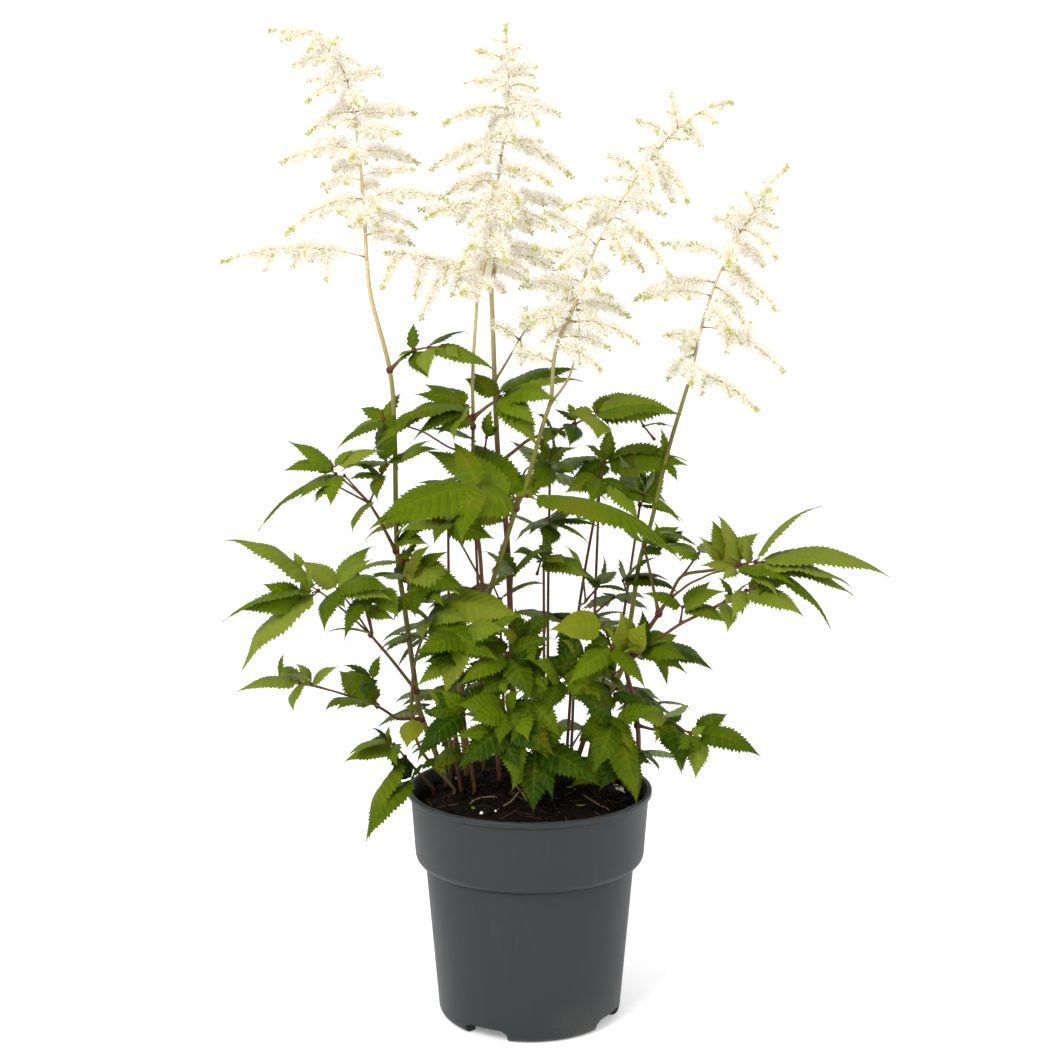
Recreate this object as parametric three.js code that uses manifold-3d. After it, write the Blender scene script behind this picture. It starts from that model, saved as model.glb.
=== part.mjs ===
// A flowering astilbe in its grower's pot: thin moulded pot, potting soil, five flower stems with
// plumes, a leafy side stem and the basal leaves. Millimetres, +Z up, +X to the right, -Y in front.
// Places are measured from the ground under the middle of the pot. The finished group is shifted
// to its own origin, on the ground under the middle of the whole plant.
import * as THREE from 'three';
import { mergeVertices } from 'three/addons/utils/BufferGeometryUtils.js';
import Module from 'manifold-3d';

const wasm = await Module();
wasm.setup();

// ---- Driving dimensions ----

// The pot.
const POT_HEIGHT = 162;
const RIM_RADIUS = 85;
const BAND_TOP_RADIUS = 83;
const BAND_FOOT_RADIUS = 79.8;
const BAND_FOOT_HEIGHT = 117;
const SHOULDER_RADIUS = 7;
const FOOT_RADIUS = 64;
const FOOT_ROUNDING = 6;
const FOOT_INNER_RADIUS = 54;
const FLOOR_UNDERSIDE = 9;
const WALL = 1.6;
const BEAD_HEIGHT = 4;
const POT_SIDES = 28;
const NOTCH_COUNT = 4;
const NOTCH_WIDTH = THREE.MathUtils.degToRad(30);
const FIRST_NOTCH = THREE.MathUtils.degToRad(61);
const DRAIN_HOLE_RADIUS = 4;
const DRAIN_HOLE_DISTANCE = 44;

// The soil, heaped in the middle.
const SOIL_EDGE_HEIGHT = 150;
const SOIL_HEAP = 20;
const SOIL_ROUGHNESS = 1.4;
const GAP = 0.3;

// Leaflets.
const BLADE_THICKNESS = 1.3;
const BLADE_ARCH = 0.1;
const BLADE_SAG = 0.22;
const BLADE_WIDTH = 0.41;
const SIDE_LEAFLET_SIZE = 0.7;
const SIDE_LEAFLET_ANGLE = 1.15;
const LEAF_STALK_RADIUS = 1.2;
const SPRAY_STALK_RADIUS = 0.85;
const HUB_RADIUS = 1.1;
const LEAST_FORK = 0.6;
const SHORT_LINK = 16;
const UPPER_LEAVES = 320;

const BUSH_LEAVES = 8;

// Plumes.
const FLORET_REACH = 4.3;
const FLORET_HOLLOW = 1.9;
const FLORET_STEP = 10.5;
const SHORT_BRANCH = 45;
const BARE_SHARE = 0.14;

// Seeds of the random draws.
const SOIL_SEED = 41;
const LEAF_SEED = 700;
const BUSH_SEED = 90;

const UP = new THREE.Vector3(0, 0, 1);
const TURN = Math.PI * 2;
const at = ([x, y, z]) => new THREE.Vector3(x, y, z);

// ---- The solids under construction ----

// Every node's solids, by name, until they are joined at the end.
const made = new Map();

// What new growth keeps clear of: all that is in other nodes, and where ownToo is set its own.
const blocks = [];

function draws(seed) {
  let state = seed;
  return () => {
    state = (state * 48271) % 2147483647;
    return state / 2147483647;
  };
}

function solidOf(geometry) {
  geometry.deleteAttribute('normal');
  geometry.deleteAttribute('uv');
  const merged = mergeVertices(geometry, 1e-4);
  return new wasm.Manifold(new wasm.Mesh({
    numProp: 3,
    vertProperties: new Float32Array(merged.attributes.position.array),
    triVerts: new Uint32Array(merged.index.array),
  }));
}

function solidFrom(points, faces) {
  return new wasm.Manifold(new wasm.Mesh({
    numProp: 3,
    vertProperties: new Float32Array(points.flatMap((point) => point.toArray())),
    triVerts: new Uint32Array(faces.flat()),
  }));
}

function block(name, solid, ownToo = false) {
  blocks.push({ name, solid, box: solid.boundingBox(), ownToo });
}

function add(name, solid) {
  if (!made.has(name)) made.set(name, []);
  made.get(name).push(solid);
}

function addAndBlock(name, solid) {
  add(name, solid);
  block(name, solid);
}

function boxesMeet(a, b) {
  return [0, 1, 2].every((axis) => a.min[axis] < b.max[axis] && b.min[axis] < a.max[axis]);
}

function isClear(name, solid) {
  const box = solid.boundingBox();
  return !blocks.some((other) => (other.name !== name || other.ownToo)
    && boxesMeet(box, other.box) && !solid.intersect(other.solid).isEmpty());
}

// The bends that a leaflet or a flower branch tries in turn, as [sideways, upwards] angles and the
// share of its length that it keeps. The first that is clear of its neighbours is the one it grows in.
const BENDS = [
  [0, 0, 1], [0, 0.14, 1], [0, -0.14, 1], [0.14, 0, 1], [-0.14, 0, 1],
  [0, 0.28, 1], [0.28, 0, 1], [-0.28, 0, 1], [0, -0.28, 1],
  [0.2, 0.2, 1], [-0.2, 0.2, 1], [0.2, -0.2, 1], [-0.2, -0.2, 1],
  [0, 0.45, 1], [0.45, 0, 1], [-0.45, 0, 1], [0, -0.45, 1],
  [0, 0, 0.75], [0.3, 0.3, 0.8], [-0.3, 0.3, 0.8], [0.3, -0.3, 0.8], [-0.3, -0.3, 0.8],
  [0, 0.6, 0.7], [0.6, 0, 0.7], [-0.6, 0, 0.7], [0, -0.6, 0.7],
  [0.5, 0.4, 0.55], [-0.5, 0.4, 0.55], [0, 0, 0.5], [0.9, 0.2, 0.5], [-0.9, 0.2, 0.5],
];

function bend(root, tip, face, [sideways, upwards, share]) {
  const run = tip.clone().sub(root).multiplyScalar(share);
  const across = face.clone().cross(run).normalize();
  run.applyAxisAngle(across, -upwards);
  run.applyAxisAngle(face, sideways);
  return root.clone().add(run);
}

// Finds the tip of the first bend that is clear, or undefined where none is.
// trial(tip) gives the solid to test, fatter by the gap that neighbours keep.
function clearTip(name, root, tip, face, trial) {
  return BENDS.map((way) => bend(root, tip, face, way)).find((end) => isClear(name, trial(end)));
}

// ---- Limbs: stems, leaf stalks and the bare parts of the plumes ----

function smooth(points, steps) {
  const curve = new THREE.CatmullRomCurve3(points, false, 'catmullrom', 0.5);
  return curve.getPoints((points.length - 1) * steps);
}

// A closed limb: a ring of corners round each point of the path. The far end is closed flat, or
// drawn to the path's last point where it is pointed.
function limb(path, sides, radiusAt, pointed = false) {
  const rings = pointed ? path.length - 1 : path.length;
  const points = [];
  const faces = [];
  const side = new THREE.Vector3(0.31, -0.95, 0.05);
  for (let i = 0; i < rings; i++) {
    const ahead = path[Math.min(i + 1, path.length - 1)];
    const run = ahead.clone().sub(path[Math.max(i - 1, 0)]).normalize();
    side.addScaledVector(run, -side.dot(run)).normalize();
    const other = run.clone().cross(side);
    for (let k = 0; k < sides; k++) {
      const angle = (TURN * k) / sides;
      const radius = radiusAt(i, k);
      points.push(path[i].clone()
        .addScaledVector(side, Math.cos(angle) * radius)
        .addScaledVector(other, Math.sin(angle) * radius));
    }
  }
  for (let i = 0; i < rings - 1; i++) {
    for (let k = 0; k < sides; k++) {
      const a = i * sides + k;
      const b = i * sides + ((k + 1) % sides);
      faces.push([a, b, b + sides], [a, b + sides, a + sides]);
    }
  }
  const last = (rings - 1) * sides;
  for (let k = 1; k < sides - 1; k++) faces.push([0, k + 1, k]);
  if (pointed) {
    points.push(path[path.length - 1]);
    const apex = points.length - 1;
    for (let k = 0; k < sides; k++) faces.push([last + k, last + ((k + 1) % sides), apex]);
  } else {
    for (let k = 1; k < sides - 1; k++) faces.push([last, last + k, last + k + 1]);
  }
  return solidFrom(points, faces);
}

// ---- Leaflets ----

// The blade's outline, wide near its base and drawn out to its tip, as a share of its half width.
const outline = (u) => 3.57 * u ** 0.7 * (1 - u) ** 1.25;

// Saw teeth on each edge, as shares of the length: the tooth, then the notch past it.
const BIG_TEETH = [[0.26, 0.31], [0.46, 0.51], [0.66, 0.71]];
const SMALL_TEETH = [[0.3, 0.36], [0.56, 0.62]];
const BIG_LEAFLET = 52;

// The points of one leaflet: a thin arched blade on a short stalk, thickest along its rib, with
// toothed edges. There is a chain of points above and below the rib and one along each edge.
function leafletArm(hub, tip, face, spare = 0) {
  const run = tip.clone().sub(hub);
  const length = run.length();
  run.divideScalar(length);
  const across = face.clone().cross(run).normalize();
  const top = run.clone().cross(across);
  const halfWidth = (length * BLADE_WIDTH) / 2;
  const teeth = length > BIG_LEAFLET ? BIG_TEETH : SMALL_TEETH;
  const stalk = 0.8 + spare;
  const rib = BLADE_THICKNESS / 2 + spare;
  const place = (u, width, lift) => {
    const arch = BLADE_ARCH * length * 4 * u * (1 - u) - BLADE_SAG * Math.abs(width);
    const point = hub.clone().addScaledVector(run, u * length).addScaledVector(across, width);
    return { u, point: point.addScaledVector(top, arch + lift) };
  };
  const edges = [[0.07, stalk], [0.13, outline(0.13) * halfWidth * 0.85 + spare]];
  for (const [tooth, notch] of teeth) {
    edges.push([tooth, outline(tooth) * halfWidth * 1.1 + spare]);
    edges.push([notch, outline(notch) * halfWidth * 0.74 + spare]);
  }
  const ribs = [0.1, ...teeth.slice(0, -1).map(([, notch]) => notch)];
  return {
    run,
    above: ribs.map((u) => place(u, 0, rib)),
    below: ribs.map((u) => place(u, 0, -rib)),
    left: edges.map(([u, width]) => place(u, width, 0)),
    right: edges.map(([u, width]) => place(u, -width, 0)),
    apex: tip.clone().addScaledVector(run, spare),
  };
}

// The points of a stalk: four corners round each point of its path after the first, its hub.
function stalkArm(path, face, radius) {
  const rows = { above: [], below: [], left: [], right: [] };
  const top = face.clone();
  path.slice(1).forEach((point, i) => {
    const run = (path[i + 2] ?? point).clone().sub(path[i]).normalize();
    const across = top.clone().cross(run).normalize();
    top.crossVectors(run, across);
    const corner = (way, offset) => ({ u: i + 1, point: point.clone().addScaledVector(way, offset) });
    rows.above.push(corner(top, radius));
    rows.below.push(corner(top, -radius));
    rows.left.push(corner(across, radius));
    rows.right.push(corner(across, -radius));
  });
  return { run: path[1].clone().sub(path[0]).normalize(), ...rows };
}

// A link is a stalk that ends at a hub of its own. A short one has no corners on the way.
function linkArm(from, next, face) {
  const middle = from.clone().lerp(next.hub, 0.5);
  const link = stalkArm([from, middle, next.hub], face, SPRAY_STALK_RADIUS);
  const kept = from.distanceTo(next.hub) > SHORT_LINK ? 1 : 0;
  for (const row of ['above', 'below', 'left', 'right']) link[row].length = kept;
  return { ...link, next };
}

// The angle at which an arm leaves its hub, seen from the side that the hub turns up.
function headingOf(arm, face, first) {
  const zero = first.run.clone().addScaledVector(face, -first.run.dot(face)).normalize();
  const quarter = face.clone().cross(zero);
  const angle = Math.atan2(arm.run.dot(quarter), arm.run.dot(zero));
  return { angle: (angle + TURN) % TURN, zero, quarter };
}

// True where an arm would leave a hub too near to one that is there.
function isCrowded(arm, face, arms) {
  if (!arms.length) return false;
  const heading = headingOf(arm, face, arms[0]).angle;
  return arms.some((other) => {
    const turn = Math.abs(heading - headingOf(other, face, arms[0]).angle);
    return Math.min(turn, TURN - turn) < LEAST_FORK;
  });
}

// One closed skin over a hub's arms and, through its links, over those of the hubs beyond.
// Neighbouring arms share a point in the crotch between them. A leaflet ends in its apex, a
// stalk ends flat and a link ends in the points round the next hub.
function skin(first) {
  const points = [];
  const faces = [];
  const put = (point) => points.push(point) - 1;

  // One quarter of an arm: the strip between a chain over its rib and an edge, up to its end.
  const strip = (spine, rim, apex, turned) => {
    let [i, j] = [0, 0];
    const close = (next) => faces.push(turned
      ? [rim[j].id, next, spine[i].id]
      : [spine[i].id, next, rim[j].id]);
    while (i < spine.length - 1 || j < rim.length - 1) {
      const atRimEnd = j === rim.length - 1;
      const onSpine = atRimEnd || (i < spine.length - 1 && spine[i + 1].u <= rim[j + 1].u);
      close(onSpine ? spine[i + 1].id : rim[j + 1].id);
      if (onSpine) i++;
      else j++;
    }
    if (apex !== undefined) close(apex);
  };

  const crotchPoint = (hub, face, ring, i) => {
    const { arm, angle, zero, quarter } = ring[i];
    const next = ring[(i + 1) % ring.length];
    const gap = (next.angle - angle + TURN) % TURN || TURN;
    const isNarrow = gap < Math.PI;
    const reach = isNarrow ? Math.min(HUB_RADIUS / Math.sin(gap / 2), HUB_RADIUS * 4) : HUB_RADIUS;
    const lift = isNarrow ? (arm.run.dot(face) + next.arm.run.dot(face)) / 2 : 0;
    return hub.clone()
      .addScaledVector(zero, Math.cos(angle + gap / 2) * reach)
      .addScaledVector(quarter, Math.sin(angle + gap / 2) * reach)
      .addScaledVector(face, lift * reach);
  };

  // Joins a hub's arms. Where the hub lies beyond a link, wayIn is the arm back along it, and the
  // result is the four points at which the link ends.
  const join = ({ hub, face, arms }, wayIn) => {
    const above = put(hub.clone().addScaledVector(face, HUB_RADIUS));
    const below = put(hub.clone().addScaledVector(face, -HUB_RADIUS));
    const all = wayIn ? [wayIn, ...arms] : arms;
    const ring = all.map((arm) => ({ arm, ...headingOf(arm, face, all[0]) }))
      .sort((a, b) => a.angle - b.angle);
    const crotches = ring.map((_, i) => put(crotchPoint(hub, face, ring, i)));
    ring.forEach(({ arm }, i) => {
      if (arm === wayIn) return;
      const gate = arm.next && join(arm.next, { run: arm.run.clone().negate() });
      const chain = (start, row, end) => [
        { u: 0, id: start },
        ...row.map(({ u, point }) => ({ u, id: put(point) })),
        ...(gate ? [{ u: 2, id: end }] : []),
      ];
      const over = chain(above, arm.above, gate?.above);
      const under = chain(below, arm.below, gate?.below);
      const left = chain(crotches[i], arm.left, gate?.left);
      const right = chain(crotches[(i + ring.length - 1) % ring.length], arm.right, gate?.right);
      const apex = arm.apex && put(arm.apex);
      strip(over, left, apex, false);
      strip(over, right, apex, true);
      strip(under, left, apex, true);
      strip(under, right, apex, false);
      if (arm.apex || gate) return;
      const [t, b, l, r] = [over, under, left, right].map((row) => row[row.length - 1].id);
      faces.push([t, b, l], [t, r, b]);
    });
    const entry = ring.findIndex(({ arm }) => arm === wayIn);
    const before = crotches[(entry + ring.length - 1) % ring.length];
    return { above, below, left: before, right: crotches[entry] };
  };

  join(first);
  return solidFrom(points, faces);
}

// The side that a leaflet turns up: to the sky, outwards from the plant and, in the lower half of
// the bush, to the light in front.
function faceOf(root, tip, draw) {
  const run = tip.clone().sub(root).normalize();
  const out = new THREE.Vector3(root.x, root.y, 0).normalize();
  const front = root.y < 60 && root.z < UPPER_LEAVES ? 0.45 : 0.1;
  const face = new THREE.Vector3(0, -front, 0.75)
    .addScaledVector(out, 0.4)
    .add(new THREE.Vector3(draw() - 0.5, draw() - 0.5, draw() - 0.5).multiplyScalar(0.35));
  return face.addScaledVector(run, -face.dot(run)).normalize();
}

// The tips of a hub's leaflets. A spray with one tip is ternate: it gets a smaller leaflet on
// each side of the end one.
function spreadOf(hub, tips, draw, isTernate) {
  const ends = tips.map((tip) => ({ tip: at(tip), face: faceOf(hub, at(tip), draw) }));
  if (!isTernate) return ends;
  const [{ tip, face }] = ends;
  for (const sign of [-1, 1]) {
    const side = tip.clone().sub(hub)
      .applyAxisAngle(face, sign * SIDE_LEAFLET_ANGLE)
      .multiplyScalar(SIDE_LEAFLET_SIZE * (0.9 + 0.2 * draw()))
      .add(hub);
    ends.push({ tip: side, face: faceOf(hub, side, draw) });
  }
  return ends;
}

// Grows a hub's leaflets, each in its first bend that is clear. The hub faces the way its leaflets
// do, tilted back where the stalk that brings it, from behind, stands steeper than they do.
function growHub(name, hub, behind, tips, draw, isTernate) {
  const leaflets = spreadOf(hub, tips, draw, isTernate).flatMap(({ tip, face }) => {
    const trial = (end) => {
      const arm = leafletArm(hub, end, face, GAP);
      const neck = hub.clone().addScaledVector(arm.run, 0.06 * end.distanceTo(hub));
      return skin({ hub: neck, face, arms: [arm] });
    };
    const end = clearTip(name, hub, tip, face, trial);
    if (!end) return [];
    block(name, trial(end), true);
    return [{ face, arm: leafletArm(hub, end, face) }];
  });
  return { hub, behind, leaflets };
}

// Gives a hub its face and hangs on it the leaflets that have room. One that has none is closed
// by itself, and is joined to the leaf where it meets the hub.
function dressHub(name, { hub, behind, leaflets }, beyond = []) {
  const stalk = hub.clone().sub(behind).normalize();
  const spread = new THREE.Vector3();
  const face = new THREE.Vector3(0, -0.1, 0.3);
  leaflets.forEach((leaflet) => {
    spread.add(leaflet.arm.run);
    face.add(leaflet.face);
  });
  beyond.forEach((next) => spread.add(next.clone().sub(hub).normalize()));
  face.normalize().addScaledVector(stalk, 2).addScaledVector(spread.normalize(), -2).normalize();
  const back = { run: stalk.clone().negate() };
  const arms = [];
  for (const leaflet of leaflets) {
    if (isCrowded(leaflet.arm, face, [back, ...arms])) {
      add(name, skin({ hub, face: leaflet.face, arms: [leaflet.arm] }));
    } else arms.push(leaflet.arm);
  }
  return { hub, face, arms };
}

// Grows a leaf: its own stalk up to the knot, a link to each spray's hub, and all the leaflets.
// A link that has no room at the knot is a stalk of the spray's own skin.
function growLeaf(name, line, sprays, single, draw) {
  const [knot, before] = [...line].reverse();
  const hubs = sprays.map(([place, ...tips]) => ({ hub: at(place), tips }));
  hubs.forEach(({ hub }) => {
    const stalk = [knot.clone().lerp(hub, 0.3), knot.clone().lerp(hub, 0.7)];
    block(name, limb(stalk, 4, () => HUB_RADIUS), true);
  });
  const grown = hubs.map(({ hub, tips }) => growHub(name, hub, knot, tips, draw, tips.length === 1));
  const top = growHub(name, knot, before, single, draw, false);
  const root = dressHub(name, top, hubs.map(({ hub }) => hub));
  const stalk = stalkArm([...line].reverse(), root.face, LEAF_STALK_RADIUS);
  const links = [];
  grown.forEach((spray) => {
    const next = dressHub(name, spray);
    const link = linkArm(knot, next, root.face);
    if (isCrowded(link, root.face, [stalk, ...root.arms, ...links])) {
      const middle = next.hub.clone().lerp(knot, 0.5);
      const own = stalkArm([next.hub, middle, knot], next.face, SPRAY_STALK_RADIUS);
      add(name, skin({ ...next, arms: [own, ...next.arms] }));
    } else links.push(link);
  });
  add(name, skin({ ...root, arms: [stalk, ...root.arms, ...links] }));
}

// ---- The pot ----

// Its wall in section, from the middle of the underside out, up, over the rim and down inside.
function potProfile() {
  const arc = (x, y, radius, from, to, steps) => Array.from({ length: steps + 1 }, (_, i) => {
    const angle = from + ((to - from) * i) / steps;
    return [x + radius * Math.cos(angle), y + radius * Math.sin(angle)];
  });
  const quarter = Math.PI / 2;
  const shoulderCentre = BAND_FOOT_RADIUS - SHOULDER_RADIUS;
  const outer = [
    [0, FLOOR_UNDERSIDE],
    [FOOT_INNER_RADIUS - 1, FLOOR_UNDERSIDE],
    [FOOT_INNER_RADIUS, 0],
    ...arc(FOOT_RADIUS - FOOT_ROUNDING, FOOT_ROUNDING, FOOT_ROUNDING, -quarter, 0, 3),
    ...arc(shoulderCentre, BAND_FOOT_HEIGHT, SHOULDER_RADIUS, -quarter, 0, 3),
    [BAND_TOP_RADIUS, POT_HEIGHT - BEAD_HEIGHT],
    [RIM_RADIUS, POT_HEIGHT - BEAD_HEIGHT + 0.8],
    [RIM_RADIUS, POT_HEIGHT - 1],
    [RIM_RADIUS - 1, POT_HEIGHT],
  ];
  return [...outer, ...innerProfile(WALL, FLOOR_UNDERSIDE + WALL)];
}

// The inside of the wall, from the rim down to the middle of the floor, set in by some distance.
function innerProfile(inset, floor, top = POT_HEIGHT) {
  const slope = (BAND_TOP_RADIUS - BAND_FOOT_RADIUS) / (POT_HEIGHT - BEAD_HEIGHT - BAND_FOOT_HEIGHT);
  const bodyTop = BAND_FOOT_RADIUS - SHOULDER_RADIUS;
  return [
    [BAND_FOOT_RADIUS + slope * (top - BAND_FOOT_HEIGHT) - inset, top],
    [BAND_FOOT_RADIUS - inset, BAND_FOOT_HEIGHT],
    [BAND_FOOT_RADIUS - inset - 2, BAND_FOOT_HEIGHT - 4],
    [bodyTop - inset, BAND_FOOT_HEIGHT - SHOULDER_RADIUS - 1],
    [FOOT_RADIUS - inset, floor + 2],
    [FOOT_RADIUS - inset - 2, floor],
    [0, floor],
  ];
}

function lathe(profile, sides) {
  const points = profile.map(([radius, height]) => new THREE.Vector2(radius, height));
  return solidOf(new THREE.LatheGeometry(points, sides).rotateX(Math.PI / 2));
}

// A notch between two feet: a sector of a ring, seen from above, that cuts up from the ground.
// Its angle is measured from the front, towards the plant's right.
function notch(angle) {
  const height = FLOOR_UNDERSIDE - 0.5;
  const middle = angle - Math.PI / 2;
  const shape = new THREE.Shape();
  shape.absarc(0, 0, FOOT_RADIUS + 5, middle - NOTCH_WIDTH / 2, middle + NOTCH_WIDTH / 2, false);
  shape.absarc(0, 0, FOOT_INNER_RADIUS - 4, middle + NOTCH_WIDTH / 2, middle - NOTCH_WIDTH / 2, true);
  const settings = { depth: height + 5, bevelEnabled: false, curveSegments: 4 };
  return solidOf(new THREE.ExtrudeGeometry(shape, settings).translate(0, 0, -5));
}

function round(radius, bottom, top, x, y, sides = 8) {
  const cylinder = new THREE.CylinderGeometry(radius, radius, top - bottom, sides);
  return solidOf(cylinder.rotateX(Math.PI / 2).translate(x, y, (top + bottom) / 2));
}

function makePot() {
  let pot = lathe(potProfile(), POT_SIDES);
  for (let i = 0; i < NOTCH_COUNT; i++) {
    const angle = FIRST_NOTCH + (TURN * i) / NOTCH_COUNT;
    pot = pot.subtract(notch(angle));
    const x = DRAIN_HOLE_DISTANCE * Math.sin(angle);
    const y = -DRAIN_HOLE_DISTANCE * Math.cos(angle);
    pot = pot.subtract(round(DRAIN_HOLE_RADIUS, FLOOR_UNDERSIDE - 1, FLOOR_UNDERSIDE + 5, x, y));
  }
  return pot.subtract(round(DRAIN_HOLE_RADIUS, FLOOR_UNDERSIDE - 1, FLOOR_UNDERSIDE + 5, 0, 0));
}

// ---- The soil ----

const SOIL_RADIUS = innerProfile(WALL + GAP, 0, SOIL_EDGE_HEIGHT)[0][0];

// Its height, as a smooth heap, at a place.
const ground = (x, y) => SOIL_EDGE_HEIGHT + SOIL_HEAP * (1 - Math.min(1, (x * x + y * y) / SOIL_RADIUS ** 2));

// A rough heap inside the pot's wall. Rings of corners run in from the wall to the middle.
function makeSoil() {
  const sides = POT_SIDES / 2;
  const draw = draws(SOIL_SEED);
  const wall = innerProfile(WALL + GAP, FLOOR_UNDERSIDE + WALL + GAP, SOIL_EDGE_HEIGHT).slice(0, -1);
  const rings = wall.map(([radius, height]) => ({ radius, height })).reverse();
  for (const share of [0.8, 0.52, 0.25]) rings.push({ radius: SOIL_RADIUS * share });
  const points = [new THREE.Vector3(0, 0, FLOOR_UNDERSIDE + WALL + GAP)];
  rings.forEach(({ radius, height }) => {
    for (let k = 0; k < sides; k++) {
      const angle = (TURN * k) / sides;
      const [x, y] = [radius * Math.cos(angle), radius * Math.sin(angle)];
      const rough = (draw() - 0.5) * 2 * SOIL_ROUGHNESS;
      points.push(new THREE.Vector3(x, y, height ?? ground(x, y) + rough));
    }
  });
  points.push(new THREE.Vector3(0, 0, ground(0, 0)));
  const faces = [];
  for (let k = 0; k < sides; k++) {
    const next = (k + 1) % sides;
    faces.push([0, 1 + next, 1 + k]);
    for (let i = 0; i < rings.length - 1; i++) {
      const [a, b] = [1 + i * sides + k, 1 + i * sides + next];
      faces.push([a, b, b + sides], [a, b + sides, a + sides]);
    }
    const last = 1 + (rings.length - 1) * sides;
    faces.push([last + k, last + next, points.length - 1]);
  }
  return solidFrom(points, faces);
}

addAndBlock('pot', makePot());
let soil = makeSoil();

// Sets a stem in the soil: its hole is cut, and the path is led down into it. Returns the path.
function plant([x, y], radius, path) {
  const level = ground(x, y);
  const buried = level - 22;
  soil = soil.subtract(round(radius + 0.9, buried - 0.5, level + 9, x, y, 5));
  return [new THREE.Vector3(x, y, buried), new THREE.Vector3(x, y, level + 3), ...path];
}

// ---- Flower stems and plumes ----

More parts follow.
